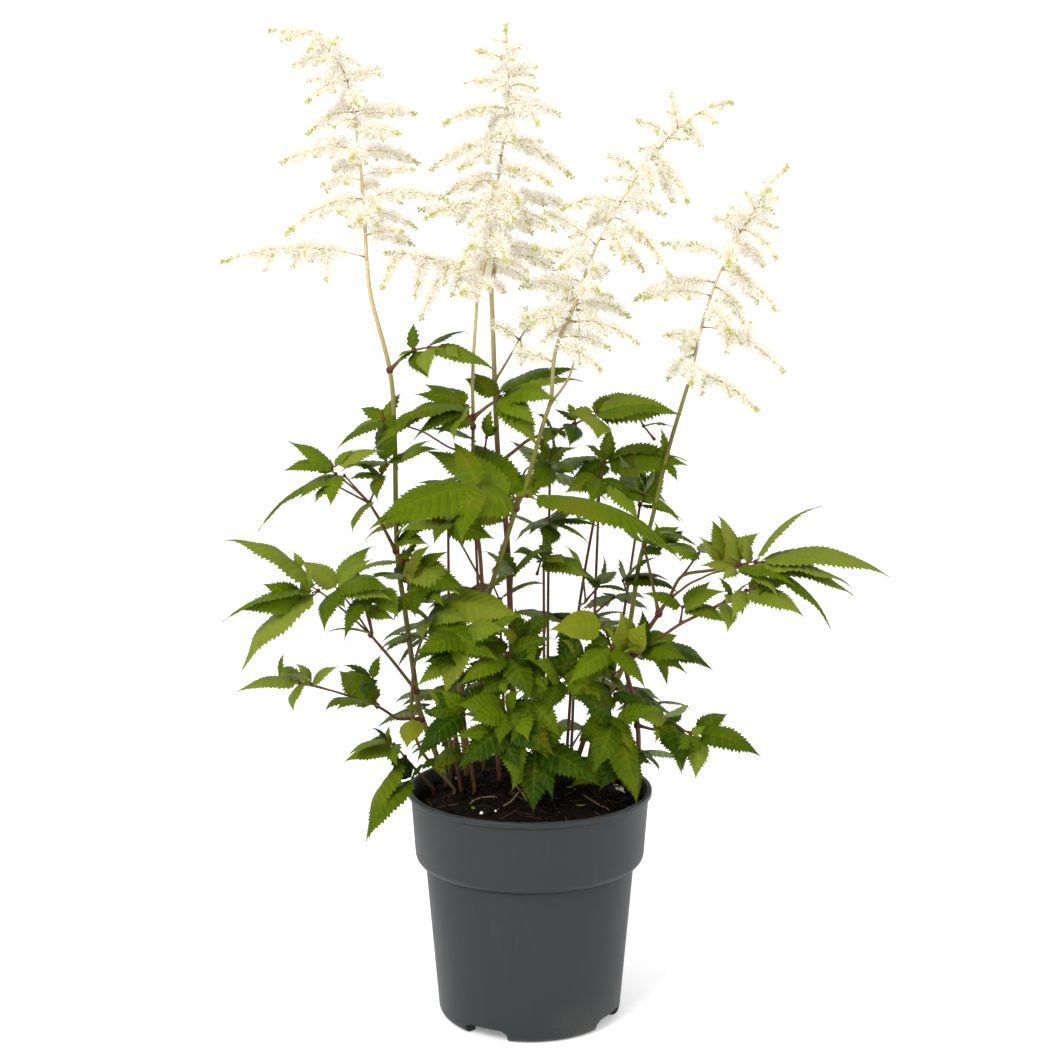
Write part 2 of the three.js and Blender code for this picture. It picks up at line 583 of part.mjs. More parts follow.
// Each stem's root is its place on the ground; its path then rises to the foot of the plume, whose
// own stalk runs on from there. A branch is [share of the stalk, reach, its own twigs...].
const FLOWER_STEMS = [
  {
    name: 'left', root: [-58, 10], thick: 2.1, thin: 1.4,
    path: [[-75, 0, 212], [-78, -5, 231], [-85, -8, 287], [-90, -10, 331], [-91, -8, 411],
      [-94, -5, 452], [-106, 0, 499], [-109, 0, 525]],
    stalk: [[-111, 5, 565], [-114, 8, 597], [-118, 5, 630], [-126, 0, 654], [-145, -5, 671],
      [-170, -12, 673]],
    branches: [
      [0.01, [-94, -22, -3], [0.25, [-3, -4, -21]], [0.4, [-11, 3, -13]], [0.62, [-6, -6, -14]]],
      [0.09, [30, 25, -7]], [0.16, [1, -53, -5]], [0.22, [-49, -29, -24]], [0.22, [58, -22, -1]],
      [0.34, [-28, 44, -17]], [0.39, [40, 11, -8]], [0.4, [-51, -11, -10]], [0.38, [-1, -43, -4]],
      [0.45, [30, -32, -1]], [0.53, [-33, 14, -14]], [0.53, [41, 14, -1]], [0.58, [-7, 33, -4]],
      [0.64, [-25, -22, -15]], [0.64, [22, -7, 8]], [0.73, [-30, 14, -4]], [0.77, [7, 10, 8]],
      [0.82, [-3, -16, -7]],
    ],
  },
  {
    name: 'centre', root: [-10, 10], thick: 2.4, thin: 1.6,
    path: [[-14, 10, 299], [-17, 15, 351], [-22, 15, 395], [-25, 10, 477], [-26, 8, 506]],
    stalk: [[-21, 5, 538], [-21, 3, 576], [-18, 0, 600], [-14, 0, 635], [-16, 0, 678]],
    branches: [
      [0.01, [-71, -14, 22], [0.25, [-10, -6, -16]], [0.38, [-22, -8, -36]], [0.62, [-9, 6, -27]],
        [0.86, [-12, -4, -24]]],
      [0.08, [23, -25, -9]], [0.08, [-10, 54, -6]], [0.16, [37, 22, -11]], [0.17, [-17, -52, -13]],
      [0.24, [-55, 25, 11]], [0.26, [38, -22, -6]], [0.32, [-48, -29, -9]], [0.34, [49, 25, -5]],
      [0.38, [14, -43, -10]], [0.41, [-35, 14, -8]], [0.46, [34, -25, -11]], [0.51, [-27, -36, -10]],
      [0.56, [-49, 11, -18]], [0.56, [46, 7, -23]], [0.61, [7, -32, -9]], [0.65, [-11, 30, -6]],
      [0.69, [-42, -11, -11]], [0.7, [35, 11, -6]], [0.73, [20, -25, -20]], [0.78, [-30, 10, 1]],
      [0.77, [18, -13, -3]], [0.81, [19, 10, 6]], [0.86, [-20, -10, 6]], [0.88, [8, -6, 6]],
    ],
  },
  {
    name: 'front', root: [-21, -8], thick: 1.6, thin: 1.1,
    path: [[-31, -8, 287], [-34, -12, 331], [-38, -14, 363], [-38, -14, 419], [-38, -14, 453],
      [-35, -14, 499]],
    stalk: [[-28, -16, 529], [-25, -18, 555], [-24, -18, 577]],
    branches: [
      [0.02, [-10, -25, 4]], [0.13, [-9, 32, -8]], [0.39, [-16, -36, 5]], [0.55, [11, -35, -17]],
      [0.72, [-14, -27, -7]], [0.84, [15, -18, -14]],
    ],
  },
  {
    name: 'crossing', root: [-45, 30], thick: 2.1, thin: 1.4,
    path: [[-49, 25, 218], [-47, 20, 249], [-35, 10, 277], [-20, -15, 326], [-9, -28, 362],
      [-2, -32, 380], [7, -32, 413], [14, -30, 434]],
    stalk: [[17, -25, 467], [28, -18, 492], [37, -12, 517], [46, -8, 539], [62, 0, 565],
      [82, 5, 595], [113, 8, 622], [135, 10, 629]],
    branches: [
      [0.1, [-23, 18, 5]], [0.14, [29, -29, -13]], [0.17, [34, 14, -8]], [0.22, [47, -14, -14]],
      [0.25, [-32, -18, -4]], [0.27, [20, 47, -10]], [0.3, [12, -40, 3]], [0.31, [-37, 22, 2]],
      [0.36, [11, 18, -3]], [0.38, [-38, -11, 12]], [0.41, [-22, -41, -8]], [0.44, [-34, 18, 22]],
      [0.46, [31, 18, -22]], [0.49, [12, -37, -21]], [0.53, [39, -14, -40]], [0.56, [-19, 34, -14]],
      [0.58, [-41, -22, -5]], [0.58, [30, 14, -9]], [0.67, [-20, 11, 12]], [0.69, [5, -28, -13]],
      [0.73, [24, -11, -32]], [0.72, [18, 25, -29]], [0.8, [-23, -10, 10]], [0.83, [-5, 6, 23]],
      [0.84, [15, 13, -12]], [0.9, [10, -13, -7]],
    ],
  },
  {
    name: 'right', root: [32, 30], thick: 2, thin: 1.3,
    path: [[45, 25, 206], [64, 15, 241], [70, 12, 278], [76, 15, 318], [84, 15, 347],
      [95, 15, 396], [109, 12, 446]],
    stalk: [[116, 10, 480], [124, 8, 507], [135, 5, 534], [150, 3, 558], [159, 0, 574],
      [171, 0, 587]],
    branches: [
      [0.01, [44, -18, -23], [0.2, [-4, -8, -13]]], [0.04, [-4, -47, -8]], [0.1, [-18, 11, -18]],
      [0.16, [-24, -25, 5]], [0.22, [56, -7, -30], [0.3, [-3, -6, -14]], [0.5, [2, 7, 12]]],
      [0.3, [12, -46, -15]], [0.36, [-47, -22, -1]], [0.4, [23, 18, -27]], [0.42, [-54, 11, -12]],
      [0.48, [36, -14, -27]], [0.49, [28, 25, -26]], [0.54, [-43, 11, 8]], [0.58, [-5, -33, -12]],
      [0.6, [24, 22, -16]], [0.66, [-19, -11, 9]], [0.67, [22, -14, -19]], [0.7, [-9, 14, 11]],
      [0.72, [20, 11, -6]], [0.77, [-7, -6, 11]], [0.78, [13, 13, -3]], [0.82, [3, -16, 6]],
    ],
  },
];

// Side plumes, each on a thin shoot of its own out of a flower stem.
const SIDE_PLUMES = [
  {
    name: 'crossing_low', stem: 'stem_crossing', thick: 0.9,
    shoot: [[13, -30, 431], [25, -22, 447], [31, -15, 466], [33, -12, 483]],
    stalk: [[30, -10, 499], [25, -10, 512]],
    branches: [[0.05, [-23, -14, -13]], [0.32, [15, -14, -12]], [0.54, [-12, 16, -7]], [0.78, [-15, -12, 3]]],
  },
  {
    name: 'centre_low', stem: 'stem_centre', thick: 0.9,
    shoot: [[-24, 12, 443], [-15, 5, 458], [-8, 0, 471]],
    stalk: [[0, 0, 482], [10, 0, 489]],
    branches: [[0.05, [-19, -8, 11]], [0.1, [1, -6, -17]], [0.35, [0, 4, 15]], [0.78, [16, -12, -8]]],
  },
];

function along(path, share) {
  const curve = new THREE.CatmullRomCurve3(path, false, 'catmullrom', 0.5);
  return curve.getPointAt(share);
}

// A branch rises a little from its root, then arches over and hangs to its tip.
function arched(root, tip) {
  const run = tip.clone().sub(root);
  const lift = 0.16 * run.length() + 0.2 * Math.max(0, -run.z);
  const middle = root.clone().lerp(tip, 0.5).addScaledVector(UP, lift);
  const curve = new THREE.QuadraticBezierCurve3(root, middle, tip);
  return curve.getPoints(Math.max(3, Math.round(run.length() / FLORET_STEP)));
}

// The florets crowd round a branch: every other corner stands out and the rest lie in between,
// smaller to the tip, where the buds are still shut. The first stretch is bare.
function flowering(path, spare, reach = FLORET_REACH) {
  const last = path.length - 1;
  const sides = path[0].distanceTo(path[last]) > SHORT_BRANCH ? 4 : 3;
  return limb(path, sides, (i, k) => {
    const share = i / last;
    if (share < BARE_SHARE) return 0.8 + spare;
    const size = 1 - 0.55 * share ** 1.5;
    return ((i + k) % 2 ? reach : FLORET_HOLLOW) * size + spare;
  }, true);
}

// A plume's own stalk, bare below and with florets towards its tip. It sets off at an angle to the
// stem, so it starts twice the gap above it.
function growStalk({ name, foot, stalk, branches, thick }) {
  const line = [foot, ...stalk.map(at)];
  const path = smooth(line, 2);
  const full = Math.round(path.length * 0.72);
  const bare = path.slice(0, full + 1);
  bare[0] = bare[0].clone().lerp(bare[1], (2 * GAP) / bare[0].distanceTo(bare[1]));
  addAndBlock(name, limb(bare, 4, (i) => thick * (1 - (0.5 * i) / full)));
  addAndBlock(name, flowering(path.slice(full - 1), 0, FLORET_REACH * 0.9));
  return { name, line, branches };
}

function growBranches({ name, line, branches }) {
  const roots = new THREE.CatmullRomCurve3(line, false, 'catmullrom', 0.5);
  const grow = (root, reach, twigs) => {
    const tip = root.clone().add(at(reach));
    const end = clearTip(name, root, tip, UP, (point) => flowering(arched(root, point), GAP));
    if (!end) return;
    const own = arched(root, end);
    addAndBlock(name, flowering(own, 0));
    twigs.forEach(([share, twigReach]) => grow(along(own, share), twigReach, []));
  };
  for (const [share, reach, ...twigs] of branches) grow(roots.getPointAt(share), reach, twigs);
}

const plumes = FLOWER_STEMS.map(({ name, root, thick, thin, path, stalk, branches }) => {
  const rise = path.map(at);
  const whole = plant(root, thick, rise);
  const line = [whole[0], ...smooth(whole.slice(1), 2)];
  const last = line.length - 1;
  addAndBlock(`stem_${name}`, limb(line, 5, (i) => thick + ((thin - thick) * i) / last));
  return { name: `plume_${name}`, foot: line[last], stalk, branches, thick: thin };
});

SIDE_PLUMES.forEach(({ name, stem, thick, shoot, stalk, branches }) => {
  const line = shoot.map(at);
  addAndBlock(stem, limb(line, 4, () => thick));
  plumes.push({ name: `plume_${name}`, foot: line[line.length - 1], stalk, branches, thick });
});

// ---- Leaves ----

// Each leaf: the node it belongs to, its root on the ground where it is a basal leaf, the path of
// its stalk, the sprays that spring from the knot at the stalk's end, and single leaflets there.
const LEAVES = [
  // On the left flower stem, from the top down.
  {
    on: 'stem_left', path: [[-94, -5, 452], [-85, -12, 461], [-77, -16, 466]],
    sprays: [[[-67, -20, 468], [-22, -34, 454]]],
    single: [[-89, -26, 457], [-64, -38, 456], [-78, -6, 484]],
  },
  {
    on: 'stem_left', path: [[-91, -10, 330], [-101, -20, 353], [-107, -26, 365]],
    sprays: [[[-128, -38, 386], [-178, -54, 351], [-159, -36, 408], [-130, -66, 372]],
      [[-96, -16, 389], [-124, -50, 390], [-93, 4, 435], [-68, 8, 397]]],
    single: [[-117, -60, 352]],
  },
  {
    on: 'stem_left', path: [[-90, -8, 316], [-86, -14, 323]],
    sprays: [],
    single: [[-46, -46, 307], [-75, -4, 338], [-120, -44, 318]],
  },
  {
    on: 'stem_left', path: [[-78, -5, 231], [-94, -20, 257], [-107, -30, 276]],
    sprays: [[[-140, -44, 309], [-201, -66, 293], [-209, -44, 330], [-192, -58, 260]],
      [[-128, -34, 308], [-90, -68, 308], [-107, -14, 335], [-155, -20, 325]]],
    single: [[-134, -58, 284]],
  },
  {
    on: 'stem_left', path: [[-75, 0, 210], [-91, -10, 213], [-104, -18, 224]],
    sprays: [[[-154, -40, 245], [-196, -52, 243]]],
    single: [[-133, 8, 244], [-128, -58, 232]],
  },
  // On the thin front stem, to its left and right.
  {
    on: 'stem_front', path: [[-38, -14, 415], [-41, -20, 423], [-42, -24, 429]],
    sprays: [],
    single: [[-102, -62, 408], [-75, -16, 440], [-50, -62, 412]],
  },
  {
    on: 'stem_front', path: [[-38, -14, 421], [-29, -12, 428], [-20, -11, 434]],
    sprays: [],
    single: [[18, -40, 435], [34, 0, 453], [-40, -4, 451], [4, -44, 414]],
  },
  // At the top of the centre stem.
  {
    on: 'stem_centre', path: [[-21, 15, 387], [0, 8, 404], [30, -2, 415]],
    sprays: [[[42, -5, 421], [100, -28, 426]]],
    single: [[26, -40, 405]],
  },
  // The big front leaf on the crossing stem.
  {
    on: 'stem_crossing', path: [[-9, -28, 362], [-11, -34, 366], [-13, -40, 368]],
    sprays: [[[-33, -56, 379], [-102, -98, 360], [-51, -34, 408], [-55, -90, 356]],
      [[-2, -48, 373], [96, -98, 341], [52, -40, 383], [40, -84, 350]]],
    single: [],
  },
  // The big leaf on the leafy right stem, and the lesser ones below it.
  {
    on: 'stem_leafy', path: [[87, -22, 289], [102, -32, 317], [138, -48, 327]],
    sprays: [[[148, -52, 330], [232, -74, 324], [198, -38, 352], [204, -78, 306]]],
    single: [[125, -22, 357], [160, -76, 312]],
  },
  {
    on: 'stem_leafy', path: [[87, -22, 289], [100, -34, 284], [129, -48, 302]],
    sprays: [[[142, -54, 311], [176, -86, 302]]],
    single: [[128, -76, 288]],
  },
  {
    on: 'stem_leafy', path: [[87, -22, 289], [82, -10, 313], [78, 0, 332]],
    sprays: [[[86, -8, 341], [112, -34, 337]]],
    single: [[56, 20, 346], [104, 20, 343]],
  },
  {
    on: 'stem_leafy', path: [[74, -5, 207], [82, -18, 208], [87, -26, 209]],
    sprays: [[[112, -40, 211], [154, -56, 199]]],
    single: [[101, -70, 193], [73, -46, 235]],
  },
  {
    on: 'stem_leafy', path: [[66, -10, 251], [71, -15, 257], [75, -20, 263]],
    sprays: [],
    single: [[105, -44, 253], [103, -6, 273], [76, -24, 292], [50, -30, 288]],
  },
  // Basal leaves, from the back to the front of the bush.
  {
    on: 'leaf_back', root: [13, 30], path: [[13, 38, 286], [14, 34, 376]],
    sprays: [],
    single: [[-14, 18, 402], [15, 42, 410], [50, 10, 393], [54, 14, 362]],
  },
  {
    on: 'leaf_back_right', root: [26, 42], path: [[34, 48, 270], [52, 37, 384]],
    sprays: [],
    single: [[108, 20, 388], [56, 50, 410], [40, 6, 372]],
  },
  {
    on: 'leaf_far_right', root: [48, 30], path: [[66, 40, 272], [77, 34, 355]],
    sprays: [],
    single: [[61, 14, 392], [107, 20, 345], [94, 50, 385]],
  },
  {
    on: 'leaf_rim_left', root: [-67, 0], path: [[-76, -6, 172], [-86, -12, 186]],
    sprays: [[[-93, -18, 197], [-126, -34, 190]]],
    single: [[-111, -40, 138]],
  },
  {
    on: 'leaf_pale', root: [-52, -14], path: [[-78, -8, 197], [-79, -14, 250], [-63, -22, 296]],
    sprays: [],
    single: [[-4, -50, 292], [-84, -44, 300]],
  },
  {
    on: 'leaf_mid_left', root: [-38, -22], path: [[-45, -36, 229], [-44, -44, 281]],
    sprays: [],
    single: [[-78, -66, 264], [-67, -36, 296], [-16, -66, 288], [-60, -72, 250]],
  },
  {
    on: 'leaf_middle', root: [-4, -18], path: [[-10, -32, 218], [-15, -42, 265]],
    sprays: [],
    single: [[-47, -66, 250], [-38, -16, 274], [0, -74, 248], [16, -46, 276]],
  },
  {
    on: 'leaf_mid_right', root: [38, -8], path: [[47, -28, 231], [55, -40, 270]],
    sprays: [],
    single: [[25, -66, 251], [20, -34, 280], [76, -66, 248]],
  },
  {
    on: 'leaf_front_left', root: [-12, -16], path: [[-13, -42, 199], [-14, -64, 221]],
    sprays: [],
    single: [[-47, -90, 201], [-9, -94, 198], [16, -82, 208], [-38, -60, 236]],
  },
  {
    on: 'leaf_low_left', root: [-47, -20], path: [[-51, -38, 201], [-46, -50, 231]],
    sprays: [],
    single: [[-74, -78, 201], [-12, -48, 244], [-70, -40, 242]],
  },
  {
    on: 'leaf_front', root: [11, -8], path: [[7, -36, 188], [4, -56, 205]],
    sprays: [],
    single: [[2, -74, 166], [46, -66, 179], [28, -66, 222]],
  },
  {
    on: 'leaf_front_right', root: [52, 2], path: [[54, -30, 200], [56, -50, 221]],
    sprays: [],
    single: [[42, -82, 196], [72, -58, 170], [28, -62, 244], [84, -60, 234]],
  },
];

const LEAFY_STEM = [[75, -5, 200], [71, -8, 227], [66, -10, 251], [76, -16, 270], [87, -22, 289]];
const leafyPath = plant([75, -5], 1.6, LEAFY_STEM.map(at));
addAndBlock('stem_leafy', limb([leafyPath[0], ...smooth(leafyPath.slice(1), 2)], 5, (i) => 1.7 - 0.04 * i));

// The rest of the bush, by a rule: basal leaves that fan out behind, low and high in turn.
function bushLeaves() {
  const draw = draws(BUSH_SEED);
  return Array.from({ length: BUSH_LEAVES }, (_, i) => {
    const high = i % 2;
    const heading = Math.PI * (0.1 + (0.82 * i) / (BUSH_LEAVES - 1)) + (draw() - 0.5) * 0.2;
    const start = 52 + 12 * draw();
    const reach = (high ? 54 : 70) + 14 * draw();
    const height = (high ? 330 : 240) + 40 * draw();
    const out = (distance, z, turn = 0) => [
      distance * Math.cos(heading + turn), distance * Math.sin(heading + turn), z,
    ];
    return {
      on: `leaf_bush_${i + 1}`,
      root: out(start, 0).slice(0, 2),
      path: [out(start + (reach - start) * 0.35, height * 0.72), out(reach, height)],
      sprays: [[out(reach + 16, height + 7), out(reach + 62, height - 10)]],
      single: [out(reach + 26, height + 8, 0.4), out(reach + 26, height + 8, -0.4)],
    };
  });
}

// Stalks first, so that the leaflets and flower branches can be bent clear of them all.
const leaves = [...LEAVES, ...bushLeaves()].map((leaf) => {
  const rise = leaf.path.map(at);
  const whole = leaf.root ? plant(leaf.root, LEAF_STALK_RADIUS, rise) : rise;
  const line = leaf.root ? [whole[0], ...smooth(whole.slice(1), 2)] : rise;
  const short = line.slice(0, -1);
  short.push(line[line.length - 1].clone().lerp(line[line.length - 2], 0.3));
  block(leaf.on, limb(short, 4, () => LEAF_STALK_RADIUS + GAP), true);
  return { ...leaf, line };
});
addAndBlock('soil', soil);

plumes.map(growStalk).forEach(growBranches);
leaves.forEach(({ on, line, sprays, single }, i) => {
  growLeaf(on, line, sprays, single, draws(LEAF_SEED + i));
});

// ---- Joining and colours ----

const FINISH = {
  pot: { color: '#464c4d', roughness: 0.55 },
  soil: { color: '#2b211a', roughness: 0.95 },
  stem: { color: '#6f7a35', roughness: 0.6 },
  plume: { color: '#f1ecd3', roughness: 0.8 },
  leaf: { color: '#4b6f2c', roughness: 0.6 },
};

// Joins a node's solids into one body and drops any scrap that hangs loose from it.
function joined(solids) {
  const bodies = wasm.Manifold.union(solids).simplify(0.03).decompose();
  return bodies.reduce((best, body) => (body.volume() > best.volume() ? body : best));
}

function meshOf(name, solid) {
  const { vertProperties, triVerts } = solid.getMesh();
  const geometry = new THREE.BufferGeometry();
  geometry.setAttribute('position', new THREE.BufferAttribute(new Float32Array(vertProperties), 3));
  geometry.setIndex([...triVerts]);
  geometry.computeVertexNormals();
  const finish = FINISH[name.split('_')[0]];
  const mesh = new THREE.Mesh(geometry, new THREE.MeshStandardMaterial({ ...finish, metalness: 0 }));
  mesh.name = name;
  return mesh;
}

const astilbe = new THREE.Group();
for (const [name, solids] of made) astilbe.add(meshOf(name, joined(solids)));

const middle = new THREE.Box3().setFromObject(astilbe).getCenter(new THREE.Vector3());
astilbe.position.set(-middle.x, -middle.y, 0);

export default astilbe;
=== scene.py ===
import math
import random

import bmesh
import bpy
import numpy as np
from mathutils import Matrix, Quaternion, Vector, noise


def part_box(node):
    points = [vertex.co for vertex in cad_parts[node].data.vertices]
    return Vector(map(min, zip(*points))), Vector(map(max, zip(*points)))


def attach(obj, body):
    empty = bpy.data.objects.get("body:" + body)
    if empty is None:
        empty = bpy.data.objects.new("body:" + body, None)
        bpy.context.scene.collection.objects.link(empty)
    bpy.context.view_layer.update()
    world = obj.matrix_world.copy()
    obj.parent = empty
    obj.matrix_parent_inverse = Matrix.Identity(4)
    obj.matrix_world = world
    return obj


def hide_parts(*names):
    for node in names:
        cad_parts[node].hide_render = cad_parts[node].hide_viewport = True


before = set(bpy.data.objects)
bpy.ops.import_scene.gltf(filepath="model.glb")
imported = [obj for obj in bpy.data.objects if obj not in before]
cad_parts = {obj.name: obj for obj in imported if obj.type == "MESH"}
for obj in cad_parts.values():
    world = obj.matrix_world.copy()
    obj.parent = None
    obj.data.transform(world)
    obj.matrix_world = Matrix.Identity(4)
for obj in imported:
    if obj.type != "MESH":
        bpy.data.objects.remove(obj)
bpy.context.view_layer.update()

# ---- Studio -------------------------------------------------------------------------------------
# A pale bowl of seamless floor, wide soft lights above and in front, and a long-lens camera that
# looks a little down on the plant. Places on the plant are in millimetres from the pot's own axis.

MM = 0.001
pot_low, pot_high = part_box("pot")
POT_AXIS = Vector(((pot_low.x + pot_high.x) / 2, (pot_low.y + pot_high.y) / 2, 0))
FULL_TURN = math.tau
UP = Vector((0, 0, 1))

CAMERA_PLACE = (-3.3, -1300, 552)
CAMERA_TILT = math.radians(9)
CAMERA_REACH = 50
VIEW_WIDTH = 1050
FOCAL_PIXELS = 1931

FLOOR_RADIUS = 2.6
FLOOR_BEND = 1.4
FLOOR_BEND_STEPS = 12
FLOOR_WALL = 1.6
FLOOR_SIDES = 64
FLOOR_WHITE = 0.9
FLOOR_GLOW = 0.2

# Each light's place, width in metres, power and colour. Both aim at the middle of the plant.
LIGHTS = {
    "key": ((-900, -1300, 1500), 1.0, 34, (1, 0.985, 0.96)),
    "fill": ((1200, -900, 900), 1.4, 8, (0.96, 0.98, 1)),
}
LIGHTS_AIM = (0, 0, 350)
SKY_STRENGTH = 0.86


def in_metres(place):
    """A place given in millimetres from the pot's axis, as a point of the frame."""
    return POT_AXIS + Vector(place) * MM


def add_node(tree, kind, inputs=None, **settings):
    """A shader node with its settings, and its inputs set to values or joined to other sockets."""
    made = tree.nodes.new(kind)
    for key, value in settings.items():
        setattr(made, key, value)
    for key, value in (inputs or {}).items():
        if isinstance(value, bpy.types.NodeSocket):
            tree.links.new(value, made.inputs[key])
        else:
            made.inputs[key].default_value = value
    return made


def new_material(name):
    """An empty material with a Principled shader wired to its output."""
    material = bpy.data.materials.new(name)
    material.use_nodes = True
    tree = material.node_tree
    return material, tree, tree.nodes["Principled BSDF"]


def add_object(name, data):
    """An object of the scene that shows a mesh, a light or a camera."""
    made = bpy.data.objects.new(name, data)
    bpy.context.collection.objects.link(made)
    return made


def mesh_of(shape, name):
    """The mesh of a finished shape, with its faces turned outwards."""
    bmesh.ops.recalc_face_normals(shape, faces=shape.faces)
    mesh = bpy.data.meshes.new(name)
    shape.to_mesh(mesh)
    shape.free()
    return mesh


def turned_mesh(name, profile, centre, sides):
    """A mesh of revolution: a row of points turned round an upright axis."""
    shape = bmesh.new()
    points = [shape.verts.new(point) for point in profile]
    edges = [shape.edges.new(pair) for pair in zip(points, points[1:])]
    bmesh.ops.spin(shape, geom=points + edges, axis=UP, cent=centre, angle=FULL_TURN, steps=sides)
    bmesh.ops.remove_doubles(shape, verts=shape.verts, dist=1e-6)
    return mesh_of(shape, name)


def make_camera():
    camera = add_object("camera", bpy.data.cameras.new("camera"))
    camera.location = in_metres(CAMERA_PLACE)
    camera.rotation_euler = (math.pi / 2 - CAMERA_TILT, 0, 0)
    camera.data.lens = FOCAL_PIXELS / VIEW_WIDTH * camera.data.sensor_width
    camera.data.clip_end = CAMERA_REACH
    bpy.context.scene.camera = camera


def make_floor():
    profile = [(0, 0, 0), (FLOOR_RADIUS, 0, 0)]
    for step in range(1, FLOOR_BEND_STEPS + 1):
        angle = math.pi / 2 * step / FLOOR_BEND_STEPS
        height = FLOOR_BEND * (1 - math.cos(angle))
        profile.append((FLOOR_RADIUS + FLOOR_BEND * math.sin(angle), 0, height))
    profile.append((FLOOR_RADIUS + FLOOR_BEND, 0, FLOOR_BEND + FLOOR_WALL))
    mesh = turned_mesh("studio_floor", profile, (0, 0, 0), FLOOR_SIDES)
    mesh.shade_smooth()
    material, _, shader = new_material("pale_floor")
    shader.inputs["Base Color"].default_value = (FLOOR_WHITE, FLOOR_WHITE, FLOOR_WHITE, 1)
    shader.inputs["Roughness"].default_value = 0.9
    shader.inputs["Emission Color"].default_value = (1, 1, 1, 1)
    shader.inputs["Emission Strength"].default_value = FLOOR_GLOW
    mesh.materials.append(material)
    add_object("studio_floor", mesh)


def make_lights():
    world = bpy.data.worlds.new("studio")
    world.use_nodes = True
    sky = world.node_tree.nodes["Background"]
    sky.inputs["Color"].default_value = (1, 1, 1, 1)
    sky.inputs["Strength"].default_value = SKY_STRENGTH
    bpy.context.scene.world = world
    bpy.context.scene.view_settings.view_transform = "Standard"
    for name, (place, size, power, colour) in LIGHTS.items():
        light = bpy.data.lights.new(name, "AREA")
        light.shape = "DISK"
        light.size = size
        light.energy = power
        light.color = colour
        lamp = add_object(name, light)
        lamp.location = in_metres(place)
        lamp.rotation_euler = (in_metres(LIGHTS_AIM) - lamp.location).to_track_quat("-Z", "Y").to_euler()


make_camera()
make_floor()
make_lights()

# ---- Pot ----------------------------------------------------------------------------------------
# A thin grower's pot moulded in slate grey plastic: a tapered body, a wider rim band with a rounded
# shoulder and a rolled lip, and a foot ring cut by four notches. It has drain holes in its floor.

POT_HEIGHT = 162
LIP_RADIUS = 85
LIP_HEIGHT = 4
BAND_TOP_RADIUS = 83
BAND_FOOT_RADIUS = 79.8
BAND_FOOT_HEIGHT = 117
SHOULDER_RADIUS = 7
FOOT_RADIUS = 64
FOOT_ROUNDING = 6
FOOT_INNER_RADIUS = 54
FLOOR_UNDERSIDE = 9
POT_WALL = 1.6
POT_SIDES = 128
NOTCH_COUNT = 4
NOTCH_WIDTH = math.radians(30)
NOTCH_STEPS = 10
FIRST_NOTCH = math.radians(61)
DRAIN_HOLE_RADIUS = 4
DRAIN_HOLE_DISTANCE = 44
POT_SHARP_ANGLE = math.radians(35)

# The share of the fine noise in an uneven tone, and how high in metres it stands as a bump.
FINE_SHARE = 0.3
BUMP_HEIGHT = 0.0006

POT_GREY = (0.0118, 0.0156, 0.0166, 1)
POT_WORN = (0.026, 0.028, 0.028, 1)
POT_DUST = (0.07, 0.062, 0.05, 1)


def link_piece(name, mesh, material, slot, *nodes):
    """Places a finished mesh as a piece of the plant, in place of its nodes."""
    piece = add_object(name, mesh)
    mesh.materials.append(material)
    if nodes:
        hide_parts(*nodes)
    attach(piece, "root")
    return piece


def add_math(tree, operation, first, second=0.0, third=0.0):
    return add_node(
        tree, "ShaderNodeMath", {0: first, 1: second, 2: third}, operation=operation).outputs[0]


def make_speckle_group():
    """Uneven tone: a coarse and a fine noise, mixed into one mask, and the fine one as a bump."""
    group = bpy.data.node_groups.new("speckle", "ShaderNodeTree")
    for name in ("Scale", "Fine Scale", "Bump"):
        group.interface.new_socket(name, in_out="INPUT", socket_type="NodeSocketFloat")
    for name, kind in (("Mask", "Float"), ("Fine", "Float"), ("Normal", "Vector")):
        group.interface.new_socket(name, in_out="OUTPUT", socket_type=f"NodeSocket{kind}")
    given = group.nodes.new("NodeGroupInput")
    result = group.nodes.new("NodeGroupOutput")
    place = add_node(group, "ShaderNodeTexCoord").outputs["Object"]
    coarse = add_node(group, "ShaderNodeTexNoise", {
        "Vector": place, "Scale": given.outputs["Scale"], "Detail": 3, "Roughness": 0.6})
    fine = add_node(group, "ShaderNodeTexNoise", {
        "Vector": place, "Scale": given.outputs["Fine Scale"], "Detail": 2, "Roughness": 0.6})
    mixed = add_math(group, "MULTIPLY", coarse.outputs["Fac"], 1 - FINE_SHARE)
    mask = add_math(group, "MULTIPLY_ADD", fine.outputs["Fac"], FINE_SHARE, mixed)
    bump = add_node(group, "ShaderNodeBump", {
        "Strength": given.outputs["Bump"], "Distance": BUMP_HEIGHT, "Height": fine.outputs["Fac"]})
    group.links.new(mask, result.inputs["Mask"])
    group.links.new(fine.outputs["Fac"], result.inputs["Fine"])
    group.links.new(bump.outputs["Normal"], result.inputs["Normal"])
    return group


SPECKLE = make_speckle_group()


def add_speckle(tree, scale, fine_scale, bump):
    made = tree.nodes.new("ShaderNodeGroup")
    made.node_tree = SPECKLE
    for name, value in (("Scale", scale), ("Fine Scale", fine_scale), ("Bump", bump)):
        made.inputs[name].default_value = value
    return made.outputs


def add_ramp(tree, factor, *stops):
    """A colour ramp with the given (position, colour) stops. Returns its colour."""
    ramp = add_node(tree, "ShaderNodeValToRGB", {"Fac": factor})
    points = ramp.color_ramp.elements
    while len(points) < len(stops):
        points.new(0.5)
    for point, (position, colour) in zip(points, stops):
        point.position = position
        point.color = colour if isinstance(colour, tuple) else (colour, colour, colour, 1)
    return ramp.outputs["Color"]


